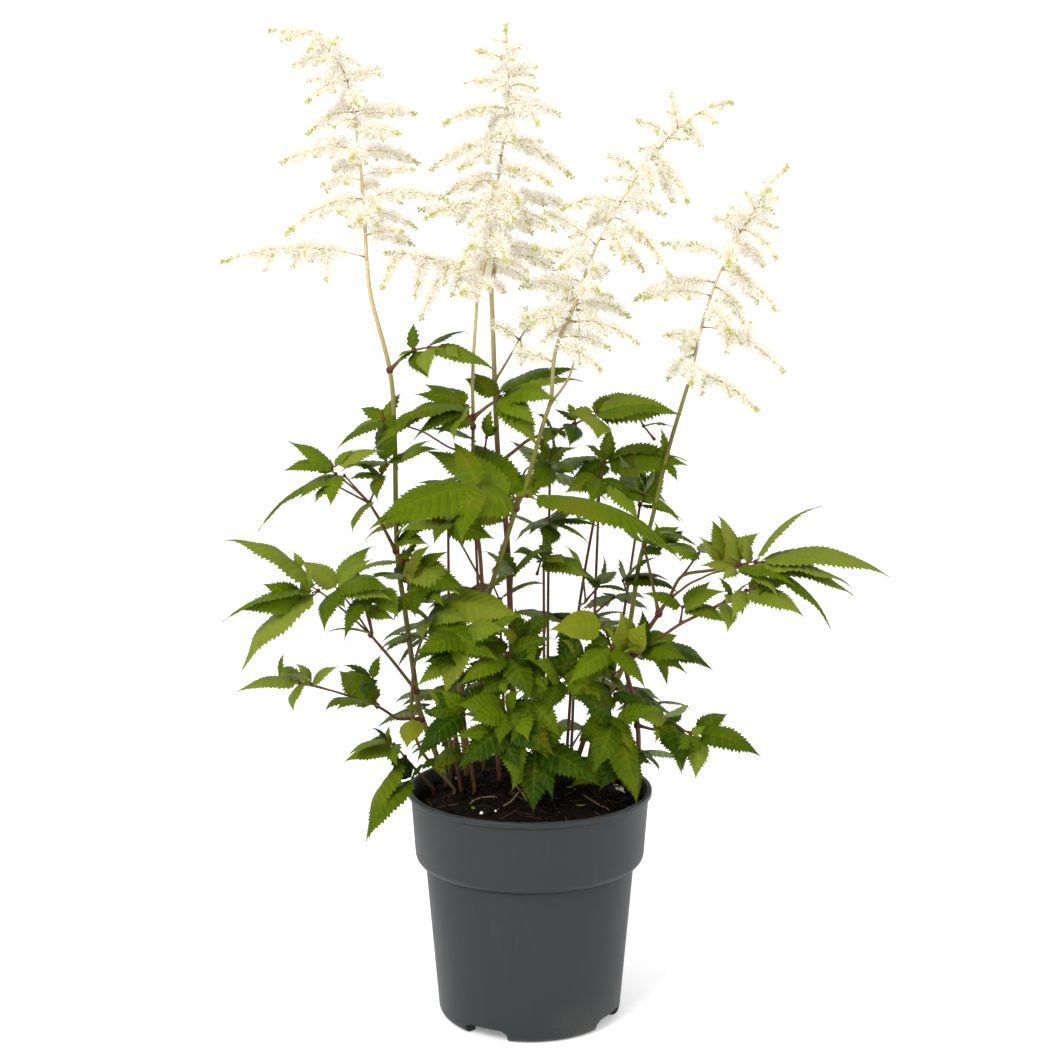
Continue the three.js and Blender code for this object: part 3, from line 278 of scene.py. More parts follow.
def add_mix(tree, factor, first, second):
    """The second colour laid over the first one where the factor is 1."""
    mix = add_node(tree, "ShaderNodeMix", data_type="RGBA")
    for socket, value in ((mix.inputs[0], factor), (mix.inputs[6], first), (mix.inputs[7], second)):
        if isinstance(value, bpy.types.NodeSocket):
            tree.links.new(value, socket)
        else:
            socket.default_value = value
    return mix.outputs[2]


def wire_surface(tree, shader, colour, roughness, normal, specular):
    """Wires what changes over a surface to its shader, and sets how strongly it mirrors."""
    for name, socket in (("Base Color", colour), ("Roughness", roughness), ("Normal", normal)):
        tree.links.new(socket, shader.inputs[name])
    shader.inputs["Specular IOR Level"].default_value = specular


def make_pot_material():
    """Satin slate plastic with faint scratches, rub marks on the lip and dust by the foot."""
    material, tree, shader = new_material("pot_plastic")
    mottle = add_speckle(tree, 9, 900, 0.06)
    place = add_node(tree, "ShaderNodeTexCoord").outputs["Object"]
    height = add_node(tree, "ShaderNodeSeparateXYZ", {"Vector": place}).outputs["Z"]
    rub = add_ramp(tree, mottle["Mask"], (0.52, 0.0), (0.68, 1.0))
    near_lip = add_ramp(tree, height, (0.15, 0.06), (0.161, 0.75))
    near_foot = add_ramp(tree, height, (0.0, 0.6), (0.03, 0.0))
    stretched = add_node(tree, "ShaderNodeMapping", {
        "Vector": place, "Rotation": (0.2, 0.3, 0), "Scale": (1, 1, 0.12)}).outputs[0]
    scratches = add_node(tree, "ShaderNodeTexNoise", {"Vector": stretched, "Scale": 320, "Detail": 2})
    lines = add_ramp(tree, scratches.outputs["Fac"], (0.62, 0.0), (0.72, 0.35))
    worn = add_mix(tree, add_math(tree, "MULTIPLY", rub, near_lip), POT_GREY, POT_WORN)
    lined = add_mix(tree, lines, worn, POT_WORN)
    dusty = add_mix(tree, add_math(tree, "MULTIPLY", rub, near_foot), lined, POT_DUST)
    rough = add_ramp(tree, mottle["Mask"], (0.3, 0.42), (0.7, 0.56))
    wire_surface(tree, shader, dusty, rough, mottle["Normal"], 0.32)
    return material


def pot_profile():
    """The wall in section, from the middle of the underside round to the middle of the floor."""
    def arc(x, y, radius, start, end, steps):
        for step in range(steps + 1):
            angle = start + (end - start) * step / steps
            yield x + radius * math.cos(angle), y + radius * math.sin(angle)

    quarter = math.pi / 2
    lip_foot = POT_HEIGHT - LIP_HEIGHT
    slope = (BAND_TOP_RADIUS - BAND_FOOT_RADIUS) / (lip_foot - BAND_FOOT_HEIGHT)
    band_top = BAND_FOOT_RADIUS + slope * (POT_HEIGHT - BAND_FOOT_HEIGHT)
    floor = FLOOR_UNDERSIDE + POT_WALL
    body_top = BAND_FOOT_RADIUS - SHOULDER_RADIUS
    return [
        (0, FLOOR_UNDERSIDE), (FOOT_INNER_RADIUS - 1, FLOOR_UNDERSIDE), (FOOT_INNER_RADIUS, 0),
        *arc(FOOT_RADIUS - FOOT_ROUNDING, FOOT_ROUNDING, FOOT_ROUNDING, -quarter, 0, 7),
        *arc(body_top - 1.2, BAND_FOOT_HEIGHT - SHOULDER_RADIUS - 1.2, 1.2, 0, quarter, 3),
        *arc(body_top, BAND_FOOT_HEIGHT, SHOULDER_RADIUS, -quarter * 0.9, 0, 7),
        (BAND_TOP_RADIUS - 0.3, lip_foot - 1.2),
        *arc(LIP_RADIUS - 1, lip_foot + 1, 1, -quarter, 0, 4),
        *arc(LIP_RADIUS - 1, POT_HEIGHT - 1, 1, 0, quarter, 4),
        *arc(band_top - POT_WALL + 0.8, POT_HEIGHT - 0.8, 0.8, quarter, 2 * quarter, 3),
        (BAND_FOOT_RADIUS - POT_WALL, BAND_FOOT_HEIGHT),
        (BAND_FOOT_RADIUS - POT_WALL - 2, BAND_FOOT_HEIGHT - 4),
        (body_top - POT_WALL, BAND_FOOT_HEIGHT - SHOULDER_RADIUS - 1),
        (FOOT_RADIUS - POT_WALL, floor + 2), (FOOT_RADIUS - POT_WALL - 2, floor), (0, floor),
    ]


def notch_cutter(angle):
    """A ring sector with rounded upper corners that cuts one gap between two feet."""
    shape = bmesh.new()
    rows = []
    for step in range(NOTCH_STEPS + 1):
        share = step / NOTCH_STEPS * 2 - 1
        turn = angle + share * NOTCH_WIDTH / 2
        top = (FLOOR_UNDERSIDE - 0.5) * (1 - 0.35 * max(0, abs(share) - 0.75) * 4)
        for radius in (FOOT_INNER_RADIUS - 4, FOOT_RADIUS + 5):
            for height in (-5, top):
                place = in_metres((radius * math.sin(turn), -radius * math.cos(turn), height))
                rows.append(shape.verts.new(place))
    for step in range(NOTCH_STEPS):
        a = rows[step * 4:step * 4 + 8]
        for i, j in ((0, 1), (1, 3), (3, 2), (2, 0)):
            shape.faces.new((a[i], a[j], a[j + 4], a[i + 4]))
    shape.faces.new((rows[0], rows[2], rows[3], rows[1]))
    shape.faces.new((rows[-4], rows[-3], rows[-1], rows[-2]))
    return mesh_of(shape, "notch")


def drain_cutter(x, y):
    shape = bmesh.new()
    radius = DRAIN_HOLE_RADIUS * MM
    bmesh.ops.create_cone(
        shape, cap_ends=True, segments=24, depth=8 * MM, radius1=radius, radius2=radius)
    bmesh.ops.translate(shape, verts=shape.verts, vec=in_metres((x, y, FLOOR_UNDERSIDE + 1)))
    return mesh_of(shape, "drain")


def cut(piece, cutters):
    """Cuts meshes out of a piece, one after the other, and bakes the result into its mesh."""
    for mesh in cutters:
        tool = add_object("cutter", mesh)
        hole = piece.modifiers.new("cut", "BOOLEAN")
        hole.operation = "DIFFERENCE"
        hole.solver = "EXACT"
        hole.object = tool
        bpy.context.view_layer.update()
        graph = bpy.context.evaluated_depsgraph_get()
        done = bpy.data.meshes.new_from_object(piece.evaluated_get(graph))
        piece.modifiers.clear()
        piece.data = done
        bpy.data.objects.remove(tool)


def make_pot():
    profile = [in_metres((radius, 0, height)) for radius, height in pot_profile()]
    mesh = turned_mesh("grower_pot", profile, POT_AXIS, POT_SIDES)
    pot = link_piece("grower_pot", mesh, make_pot_material(), "pot", "pot")
    cutters = [drain_cutter(0, 0)]
    for number in range(NOTCH_COUNT):
        angle = FIRST_NOTCH + FULL_TURN * number / NOTCH_COUNT
        x, y = DRAIN_HOLE_DISTANCE * math.sin(angle), -DRAIN_HOLE_DISTANCE * math.cos(angle)
        cutters += [notch_cutter(angle), drain_cutter(x, y)]
    cut(pot, cutters)
    pot.data.shade_smooth()
    pot.data.set_sharp_from_angle(angle=POT_SHARP_ANGLE)


make_pot()

# ---- Soil ---------------------------------------------------------------------------------------
# Dark peaty compost that fills the pot, heaped a little in the middle. Crumbs, bark fibres, bits
# of straw, a few grains of white perlite and some fallen green scraps lie loose on it.

SOIL_EDGE_HEIGHT = 150
SOIL_HEAP = 20
SOIL_GAP = 0.3
SOIL_RINGS = 44
SOIL_SIDES = 132
SOIL_SEED = 41
CRUMBS = 900
FIBRES = 110
STRAW_RADIUS = 0.55
FIBRE_STEPS = 7
BAND_SLOPE = (BAND_TOP_RADIUS - BAND_FOOT_RADIUS) / (POT_HEIGHT - LIP_HEIGHT - BAND_FOOT_HEIGHT)
SOIL_RADIUS = (
    BAND_FOOT_RADIUS + BAND_SLOPE * (SOIL_EDGE_HEIGHT - BAND_FOOT_HEIGHT) - POT_WALL - SOIL_GAP)

PEAT_DARK = (0.003, 0.0024, 0.0018, 1)
PEAT_BROWN = (0.0068, 0.0044, 0.0025, 1)
FIBRE_BROWN = (0.03, 0.015, 0.009, 1)
STRAW_PALE = (0.2, 0.14, 0.07, 1)
PERLITE_WHITE = (0.8, 0.79, 0.74, 1)
SCRAP_GREEN = (0.14, 0.2, 0.02, 1)

# The straws and the clusters of perlite that stand out, and the fallen scraps of leaf.
STRAWS = [((-12, -42), 0.9, 24), ((-7, -30), 1.9, 30), ((44, -34), 2.5, 22), ((-32, -34), 0.2, 20)]
PERLITE_SPOTS = [((63, 6), 16), ((-30, -50), 4), ((20, 55), 6), ((-55, 30), 5), ((48, 40), 3)]
SCRAPS = [(27, -19), (34, -43), (31, -22), (-38, -45), (-14, 58), (50, 34)]


class Growth:
    """The skin of one piece while it is put together: points in millimetres from the pot's axis,
    triangles, a tint of three numbers for each point, and the side that each triangle is on."""

    def __init__(self):
        self.points, self.faces, self.tints, self.sides = [], [], [], []
        self.size = 0

    def add(self, points, faces, tint, side=0):
        self.points.append(np.asarray(points, float))
        self.faces.append(np.asarray(faces) + self.size)
        self.tints.append(np.broadcast_to(tint, (len(points), 3)))
        self.sides.append(np.broadcast_to(side, len(faces)))
        self.size += len(points)

    def mesh(self, name, sharp=None):
        """The finished mesh, in metres, with edges sharper than an angle left hard."""
        points = np.concatenate(self.points) * MM + np.array(POT_AXIS)
        faces = np.concatenate(self.faces)
        mesh = bpy.data.meshes.new(name)
        mesh.vertices.add(len(points))
        mesh.vertices.foreach_set("co", points.ravel())
        mesh.loops.add(faces.size)
        mesh.loops.foreach_set("vertex_index", faces.ravel())
        mesh.polygons.add(len(faces))
        mesh.polygons.foreach_set("loop_start", np.arange(0, faces.size, 3))
        mesh.update(calc_edges=True)
        corners = np.ones((len(faces), 3, 4))
        corners[:, :, :3] = np.concatenate(self.tints)[faces]
        corners[:, :, 3] = np.concatenate(self.sides)[:, None]
        tints = mesh.attributes.new("tint", "FLOAT_COLOR", "CORNER")
        tints.data.foreach_set("color", corners.ravel())
        mesh.shade_smooth()
        if sharp:
            mesh.set_sharp_from_angle(angle=math.radians(sharp))
        return mesh


def read_tint(tree):
    """The tint that the points of a piece carry, as three numbers and the side."""
    tint = add_node(tree, "ShaderNodeAttribute", attribute_name="tint")
    parts = add_node(tree, "ShaderNodeSeparateColor", {"Color": tint.outputs["Color"]})
    return [*parts.outputs[:3], tint.outputs["Alpha"]]


def ground(x, y):
    """The height of the heap at a place."""
    return SOIL_EDGE_HEIGHT + SOIL_HEAP * (1 - min(1, (x * x + y * y) / SOIL_RADIUS ** 2))


def ball(subdivisions):
    """The points and faces of a ball of radius 1."""
    shape = bmesh.new()
    bmesh.ops.create_icosphere(shape, subdivisions=subdivisions, radius=1)
    points = np.array([corner.co for corner in shape.verts])
    faces = np.array([[corner.index for corner in face.verts] for face in shape.faces])
    shape.free()
    return points, faces


def ring_faces(first, rings, sides, near, far):
    """The faces between rings of points, and a fan at either end round the points near and far."""
    corners = np.arange(sides)
    after = (corners + 1) % sides
    starts = first + sides * np.arange(rings - 1)[:, None]
    a, b = (starts + corners).ravel(), (starts + after).ravel()
    last = first + sides * (rings - 1)
    return np.concatenate([
        np.stack([a, b, b + sides], 1), np.stack([a, b + sides, a + sides], 1),
        np.stack([np.full(sides, near), first + after, first + corners], 1),
        np.stack([np.full(sides, far), last + corners, last + after], 1)])


def tube(path, radii, sides):
    """The points and faces of a closed skin round a path, with a radius at each of its points."""
    path = np.asarray(path, float)
    runs = np.gradient(path, axis=0)
    runs /= np.linalg.norm(runs, axis=1)[:, None]
    angles = np.linspace(0, FULL_TURN, sides, endpoint=False)
    side = np.array((0.31, -0.95, 0.05))
    rings = []
    for place, run, radius in zip(path, runs, np.broadcast_to(radii, len(path))):
        side = side - side @ run * run
        side /= np.linalg.norm(side)
        other = np.array((
            run[1] * side[2] - run[2] * side[1], run[2] * side[0] - run[0] * side[2],
            run[0] * side[1] - run[1] * side[0]))
        rings.append(place + radius * (np.outer(np.cos(angles), side) + np.outer(np.sin(angles), other)))
    end = sides * len(path)
    return np.concatenate([*rings, path[[0, -1]]]), ring_faces(0, len(path), sides, end, end + 1)


def make_soil_material():
    """Almost black peat with brown grain. Loose bits take their colour from their tint."""
    material, tree, shader = new_material("peat_soil")
    shade, kind, _, _ = read_tint(tree)
    grain = add_speckle(tree, 60, 700, 0.9)
    tone = add_math(tree, "MULTIPLY_ADD", grain["Fine"], 0.55, add_math(tree, "MULTIPLY", shade, 0.6))
    peat = add_ramp(tree, tone, (0.3, PEAT_DARK), (0.75, PEAT_BROWN))
    loose = add_ramp(
        tree, kind, (0.0, FIBRE_BROWN), (0.33, STRAW_PALE), (0.66, PERLITE_WHITE), (1.0, SCRAP_GREEN))
    is_loose = add_math(tree, "GREATER_THAN", kind, 0.01)
    rough = add_ramp(tree, grain["Mask"], (0.3, 0.75), (0.7, 0.98))
    wire_surface(tree, shader, add_mix(tree, is_loose, peat, loose), rough, grain["Normal"], 0.05)
    return material


def rough_ground(x, y):
    """The height of the lumpy surface at a place."""
    place = Vector((x, y, 0))
    lumps = noise.fractal(place / 16, 1, 2, 3)
    crumbs = noise.noise(place / 2.6)
    return ground(x, y) + 1.6 * lumps + 0.55 * crumbs


def heap_skin(heap):
    """The lumpy surface, and below it the sides and the underside that the pot hides."""
    foot = FLOOR_UNDERSIDE + POT_WALL + SOIL_GAP
    inset = POT_WALL + SOIL_GAP
    wall = [
        (FOOT_RADIUS - inset - 2, foot), (FOOT_RADIUS - inset, foot + 2),
        (BAND_FOOT_RADIUS - SHOULDER_RADIUS - inset, BAND_FOOT_HEIGHT - SHOULDER_RADIUS - 1),
        (BAND_FOOT_RADIUS - inset - 2, BAND_FOOT_HEIGHT - 4), (BAND_FOOT_RADIUS - inset, BAND_FOOT_HEIGHT)]
    angles = np.linspace(0, FULL_TURN, SOIL_SIDES, endpoint=False)
    points, shades = [(0, 0, foot)], [0.2]
    for radius, height in wall:
        points += [(radius * math.cos(angle), radius * math.sin(angle), height) for angle in angles]
        shades += [0.2] * SOIL_SIDES
    for ring in range(SOIL_RINGS):
        radius = SOIL_RADIUS * (1 - ring / SOIL_RINGS)
        for angle in angles:
            x, y = radius * math.cos(angle), radius * math.sin(angle)
            points.append((x, y, rough_ground(x, y) if ring else SOIL_EDGE_HEIGHT - 0.5))
            shades.append(0.5 + 0.5 * noise.noise(Vector((x, y, 9)) / 7))
    points.append((0, 0, rough_ground(0, 0)))
    shades.append(0.5)
    tints = np.zeros((len(points), 3))
    tints[:, 0] = shades
    rings = len(wall) + SOIL_RINGS
    heap.add(points, ring_faces(1, rings, SOIL_SIDES, 0, len(points) - 1), tints)


def on_soil(chance, most=SOIL_RADIUS - 4):
    """A random place on the heap, as likely near its edge as in its middle."""
    radius = most * math.sqrt(chance.random())
    angle = chance.uniform(0, FULL_TURN)
    return radius * math.cos(angle), radius * math.sin(angle)


def add_lump(growth, chance, place, size, tint, sunk=0.3):
    """A rough crumb that lies in the surface."""
    points, faces = ball(1)
    points = points * [chance.uniform(0.7, 1.3) for _ in range(3)]
    points *= np.array([[chance.uniform(0.8, 1.2)] for _ in points])
    turn = Quaternion((chance.gauss(0, 1), chance.gauss(0, 1), chance.gauss(0, 1), 1)).normalized()
    points = points @ np.array(turn.to_matrix()).T * size
    x, y = place
    growth.add(points + (x, y, rough_ground(x, y) + size * (1 - 2 * sunk)), faces, tint)


def add_fibre(growth, chance, place, heading, length, thick, tint, sides=4):
    """A thin, slightly bent fibre that lies on the surface and dips into it at both ends."""
    bow = chance.uniform(-0.25, 0.25)
    path = []
    for step in range(FIBRE_STEPS + 1):
        share = step / FIBRE_STEPS - 0.5
        turn = heading + bow * share * 2
        x = place[0] + length * share * math.cos(turn)
        y = place[1] + length * share * math.sin(turn)
        radius = math.hypot(x, y)
        if radius > SOIL_RADIUS - 2:
            x, y = x * (SOIL_RADIUS - 2) / radius, y * (SOIL_RADIUS - 2) / radius
        path.append((x, y, rough_ground(x, y) + thick * 0.6 + 0.9 * (0.2 - share * share)))
    radii = [thick / 2, *[thick] * (FIBRE_STEPS - 1), thick / 2]
    growth.add(*tube(path, radii, sides), tint)


def make_soil():
    chance = random.Random(SOIL_SEED)
    heap, fibres, perlite, scraps = Growth(), Growth(), Growth(), Growth()
    heap_skin(heap)
    for _ in range(CRUMBS):
        size = chance.uniform(0.5, 1.1) if chance.random() < 0.8 else chance.uniform(1.1, 2.3)
        add_lump(heap, chance, on_soil(chance), size, (chance.random(), 0, 0))
    for _ in range(FIBRES):
        tint = (0, chance.choice((0.02, 0.02, 0.02, 0.04, 0.1)), 0)
        length = chance.uniform(5, 18)
        add_fibre(fibres, chance, on_soil(chance), chance.uniform(0, FULL_TURN), length,
                  chance.uniform(0.15, 0.42), tint)
    for place, heading, length in STRAWS:
        add_fibre(fibres, chance, place, heading, length, STRAW_RADIUS, (0, 0.33, 0), 6)
    for (x, y), count in PERLITE_SPOTS:
        for _ in range(count):
            place = x + chance.gauss(0, 2.6), y + chance.gauss(0, 3)
            add_lump(perlite, chance, place, chance.uniform(0.5, 1.15), (0, 0.66, 0), 0.1)
    for place in SCRAPS:
        points, faces = ball(2)
        turn = chance.uniform(0, FULL_TURN)
        points = points * (3.2 * chance.uniform(0.7, 1.2), 1.3, 0.35)
        points[:, 2] += 0.05 * points[:, 0] ** 2
        twist = np.array(Quaternion(UP, turn).to_matrix())
        height = rough_ground(*place) + 0.9
        scraps.add(points @ twist.T + (*place, height), faces, (0, 1, 0))
    material = make_soil_material()
    link_piece("potting_soil", heap.mesh("potting_soil", 50), material, "soil", "soil")
    link_piece("bark_fibres", fibres.mesh("bark_fibres"), material, "soil")
    link_piece("perlite_grains", perlite.mesh("perlite_grains", 30), material, "soil")
    link_piece("fallen_scraps", scraps.mesh("fallen_scraps"), material, "soil")


make_soil()

# ---- Flower stems -------------------------------------------------------------------------------
# Five wiry stems that rise from the crown through the leaves, olive above and partly red-brown
# below, and one leafy red stem. Two of them send out a thin shoot that ends in a small plume.

# Each stem: its root on the ground, its radius at the foot and at the top, the places it passes,
# the places of its plume's stalk, and the branches of that stalk: the share of it where each one
# springs, how far the branch reaches, and the same for the side branches that sit on it.
FLOWER_STEMS = [
    {
        "name": "left", "root": [-58, 10], "thick": 2.1, "thin": 1.4,
        "path": [[-75, 0, 212], [-78, -5, 231], [-85, -8, 287], [-90, -10, 331], [-91, -8, 411],
            [-94, -5, 452], [-106, 0, 499], [-109, 0, 525]],
        "stalk": [[-111, 5, 565], [-114, 8, 597], [-118, 5, 630], [-126, 0, 654], [-145, -5, 671],
            [-170, -12, 673]],
        "branches": [
            [0.01, [-94, -22, -3], [0.25, [-3, -4, -21]], [0.4, [-11, 3, -13]], [0.62, [-6, -6, -14]]],
            [0.09, [30, 25, -7]], [0.16, [1, -53, -5]], [0.22, [-49, -29, -24]], [0.22, [58, -22, -1]],
            [0.34, [-28, 44, -17]], [0.39, [40, 11, -8]], [0.4, [-51, -11, -10]], [0.38, [-1, -43, -4]],
            [0.45, [30, -32, -1]], [0.53, [-33, 14, -14]], [0.53, [41, 14, -1]], [0.58, [-7, 33, -4]],
            [0.64, [-25, -22, -15]], [0.64, [22, -7, 8]], [0.73, [-30, 14, -4]], [0.77, [7, 10, 8]],
            [0.82, [-3, -16, -7]],
        ],
    },
    {
        "name": "centre", "root": [-10, 10], "thick": 2.4, "thin": 1.6,
        "path": [[-14, 10, 299], [-17, 15, 351], [-22, 15, 395], [-25, 10, 477], [-26, 8, 506]],
        "stalk": [[-21, 5, 538], [-21, 3, 576], [-18, 0, 600], [-14, 0, 635], [-16, 0, 678]],
        "branches": [
            [0.01, [-71, -14, 22], [0.25, [-10, -6, -16]], [0.38, [-22, -8, -36]], [0.62, [-9, 6, -27]],
                [0.86, [-12, -4, -24]]],
            [0.08, [23, -25, -9]], [0.08, [-10, 54, -6]], [0.16, [37, 22, -11]], [0.17, [-17, -52, -13]],
            [0.24, [-55, 25, 11]], [0.26, [38, -22, -6]], [0.32, [-48, -29, -9]], [0.34, [49, 25, -5]],
            [0.38, [14, -43, -10]], [0.41, [-35, 14, -8]], [0.46, [34, -25, -11]], [0.51, [-27, -36, -10]],
            [0.56, [-49, 11, -18]], [0.56, [46, 7, -23]], [0.61, [7, -32, -9]], [0.65, [-11, 30, -6]],
            [0.69, [-42, -11, -11]], [0.7, [35, 11, -6]], [0.73, [20, -25, -20]], [0.78, [-30, 10, 1]],
            [0.77, [18, -13, -3]], [0.81, [19, 10, 6]], [0.86, [-20, -10, 6]], [0.88, [8, -6, 6]],
        ],
    },
    {
        "name": "front", "root": [-21, -8], "thick": 1.6, "thin": 1.1,
        "path": [[-31, -8, 287], [-34, -12, 331], [-38, -14, 363], [-38, -14, 419], [-38, -14, 453],
            [-35, -14, 499]],
        "stalk": [[-28, -16, 529], [-25, -18, 555], [-24, -18, 577]],
        "branches": [
            [0.02, [-10, -25, 4]], [0.13, [-9, 32, -8]], [0.39, [-16, -36, 5]], [0.55, [11, -35, -17]],
            [0.72, [-14, -27, -7]], [0.84, [15, -18, -14]],
        ],
    },
    {
        "name": "crossing", "root": [-45, 30], "thick": 2.1, "thin": 1.4,
        "path": [[-49, 25, 218], [-47, 20, 249], [-35, 10, 277], [-20, -15, 326], [-9, -28, 362],
            [-2, -32, 380], [7, -32, 413], [14, -30, 434]],
        "stalk": [[17, -25, 467], [28, -18, 492], [37, -12, 517], [46, -8, 539], [62, 0, 565],
            [82, 5, 595], [113, 8, 622], [135, 10, 629]],
        "branches": [
            [0.1, [-23, 18, 5]], [0.14, [29, -29, -13]], [0.17, [34, 14, -8]], [0.22, [47, -14, -14]],
            [0.25, [-32, -18, -4]], [0.27, [20, 47, -10]], [0.3, [12, -40, 3]], [0.31, [-37, 22, 2]],
            [0.36, [11, 18, -3]], [0.38, [-38, -11, 12]], [0.41, [-22, -41, -8]], [0.44, [-34, 18, 22]],
            [0.46, [31, 18, -22]], [0.49, [12, -37, -21]], [0.53, [39, -14, -40]], [0.56, [-19, 34, -14]],
            [0.58, [-41, -22, -5]], [0.58, [30, 14, -9]], [0.67, [-20, 11, 12]], [0.69, [5, -28, -13]],
            [0.73, [24, -11, -32]], [0.72, [18, 25, -29]], [0.8, [-23, -10, 10]], [0.83, [-5, 6, 23]],
            [0.84, [15, 13, -12]], [0.9, [10, -13, -7]],
        ],
    },
    {
        "name": "right", "root": [32, 30], "thick": 2, "thin": 1.3,
        "path": [[45, 25, 206], [64, 15, 241], [70, 12, 278], [76, 15, 318], [84, 15, 347],
            [95, 15, 396], [109, 12, 446]],
        "stalk": [[116, 10, 480], [124, 8, 507], [135, 5, 534], [150, 3, 558], [159, 0, 574],
            [171, 0, 587]],
        "branches": [
            [0.01, [44, -18, -23], [0.2, [-4, -8, -13]]], [0.04, [-4, -47, -8]], [0.1, [-18, 11, -18]],
            [0.16, [-24, -25, 5]], [0.22, [56, -7, -30], [0.3, [-3, -6, -14]], [0.5, [2, 7, 12]]],
            [0.3, [12, -46, -15]], [0.36, [-47, -22, -1]], [0.4, [23, 18, -27]], [0.42, [-54, 11, -12]],
            [0.48, [36, -14, -27]], [0.49, [28, 25, -26]], [0.54, [-43, 11, 8]], [0.58, [-5, -33, -12]],
            [0.6, [24, 22, -16]], [0.66, [-19, -11, 9]], [0.67, [22, -14, -19]], [0.7, [-9, 14, 11]],
            [0.72, [20, 11, -6]], [0.77, [-7, -6, 11]], [0.78, [13, 13, -3]], [0.82, [3, -16, 6]],
        ],
    },
]

# The small plumes: the stem each grows on, its radius, its shoot, and its stalk and branches.
SIDE_PLUMES = [
    {
        "name": "crossing_low", "stem": "stem_crossing", "thick": 0.9,
        "shoot": [[13, -30, 431], [25, -22, 447], [31, -15, 466], [33, -12, 483]],
        "stalk": [[30, -10, 499], [25, -10, 512]],
        "branches": [
            [0.05, [-23, -14, -13]], [0.32, [15, -14, -12]], [0.54, [-12, 16, -7]], [0.78, [-15, -12, 3]],
        ],
    },
    {
        "name": "centre_low", "stem": "stem_centre", "thick": 0.9,
        "shoot": [[-24, 12, 443], [-15, 5, 458], [-8, 0, 471]],
        "stalk": [[0, 0, 482], [10, 0, 489]],
        "branches": [[0.05, [-19, -8, 11]], [0.1, [1, -6, -17]], [0.35, [0, 4, 15]], [0.78, [16, -12, -8]]],
    },
]

LEAFY_STEM = [[75, -5, 200], [71, -8, 227], [66, -10, 251], [76, -16, 270], [87, -22, 289]]
LEAFY_ROOT = [75, -5]
LEAFY_THICK = 1.9
LEAFY_THIN = 1.5
SHOOT_THINNING = 0.2
BURIED = 22
STEM_SIDES = 12
STEM_SEED = 5

# The height up to which each stem is red-brown.
RED_UP_TO = {"left": 165, "centre": 405, "front": 398, "crossing": 170, "right": 190, "leafy": 600}
PALE_FROM = 415
PALE_AT = 540

STEM_OLIVE = (0.13, 0.125, 0.014, 1)
STEM_SHADE = (0.05, 0.045, 0.012, 1)
STEM_PALE = (0.7, 0.54, 0.27, 1)
STEM_RED = (0.1, 0.03, 0.016, 1)
KNOT_RED = (0.075, 0.012, 0.01, 1)


def spline(places, times):
    """Points of the smooth curve through some places, at times from 0 to 1."""
    places = np.asarray(places, float)
    row = np.vstack([2 * places[0] - places[1], places, 2 * places[-1] - places[-2]])
    last = len(places) - 1
    at = np.minimum((np.asarray(times) * last).astype(int), last - 1)
    share = (times * last - at)[:, None]
    before, start, end, after = (row[at + shift] for shift in range(4))
    leave, arrive = (end - before) / 2, (after - start) / 2
    curve = 3 * (end - start) - 2 * leave - arrive + share * (2 * (start - end) + leave + arrive)
    return start + share * (leave + share * curve)


def smooth(places, steps):
    """The smooth curve through some places, with so many steps from each to the next."""
    return spline(places, np.linspace(0, 1, (len(places) - 1) * steps + 1))


def lengths_along(path):
    """How far along a path each of its points is."""
    return np.concatenate([[0], np.cumsum(np.linalg.norm(np.diff(path, axis=0), axis=1))])


def point_along(places, share):
    """The point at a share of the length of the smooth curve through some places."""
    times = np.linspace(0, 1, 201)
    lengths = lengths_along(spline(places, times))
    return spline(places, np.interp([share * lengths[-1]], lengths, times))[0]


def planted(root, path):
    """A path that is led down into the soil at its root."""
    x, y = root
    level = ground(x, y)
    return [(x, y, level - BURIED), (x, y, level + 3), *path]


def rising(root, path, steps):
    """The line of a stem or stalk: straight in the soil and smooth above it."""
    whole = planted(root, path)
    return np.vstack([whole[:1], smooth(whole[1:], steps)])


def add_limb(growth, path, start, end, tint_at, sides=STEM_SIDES, knobs=()):
    """A limb that thins from start to end, with a swelling of (place, size, reach) at each knob.
    tint_at gives the tint at a point of the path."""
    path = np.asarray(path, float)
    lengths = lengths_along(path)
    radii = start + (end - start) * lengths / lengths[-1]
    for place, size, reach in knobs:
        away = np.linalg.norm(path - place, axis=1)
        radii = radii + size * np.exp(-(away / reach) ** 2)
    points, faces = tube(path, radii, sides)
    tints = np.repeat([tint_at(place) for place in path], sides, axis=0)
    growth.add(points, faces, np.vstack([tints, tints[:1], tints[-1:]]))


def stem_tint(name, chance):
    """The tint of a stem at a point: how red, how pale, and how far from the middle tone."""
    tone = chance.random()

    def tint_at(place):
        red = min(1, max(0, (RED_UP_TO[name] - place[2]) / 35 + 0.5))
        pale = min(1, max(0, (place[2] - PALE_FROM) / (PALE_AT - PALE_FROM)))
        return red, pale, tone
    return tint_at


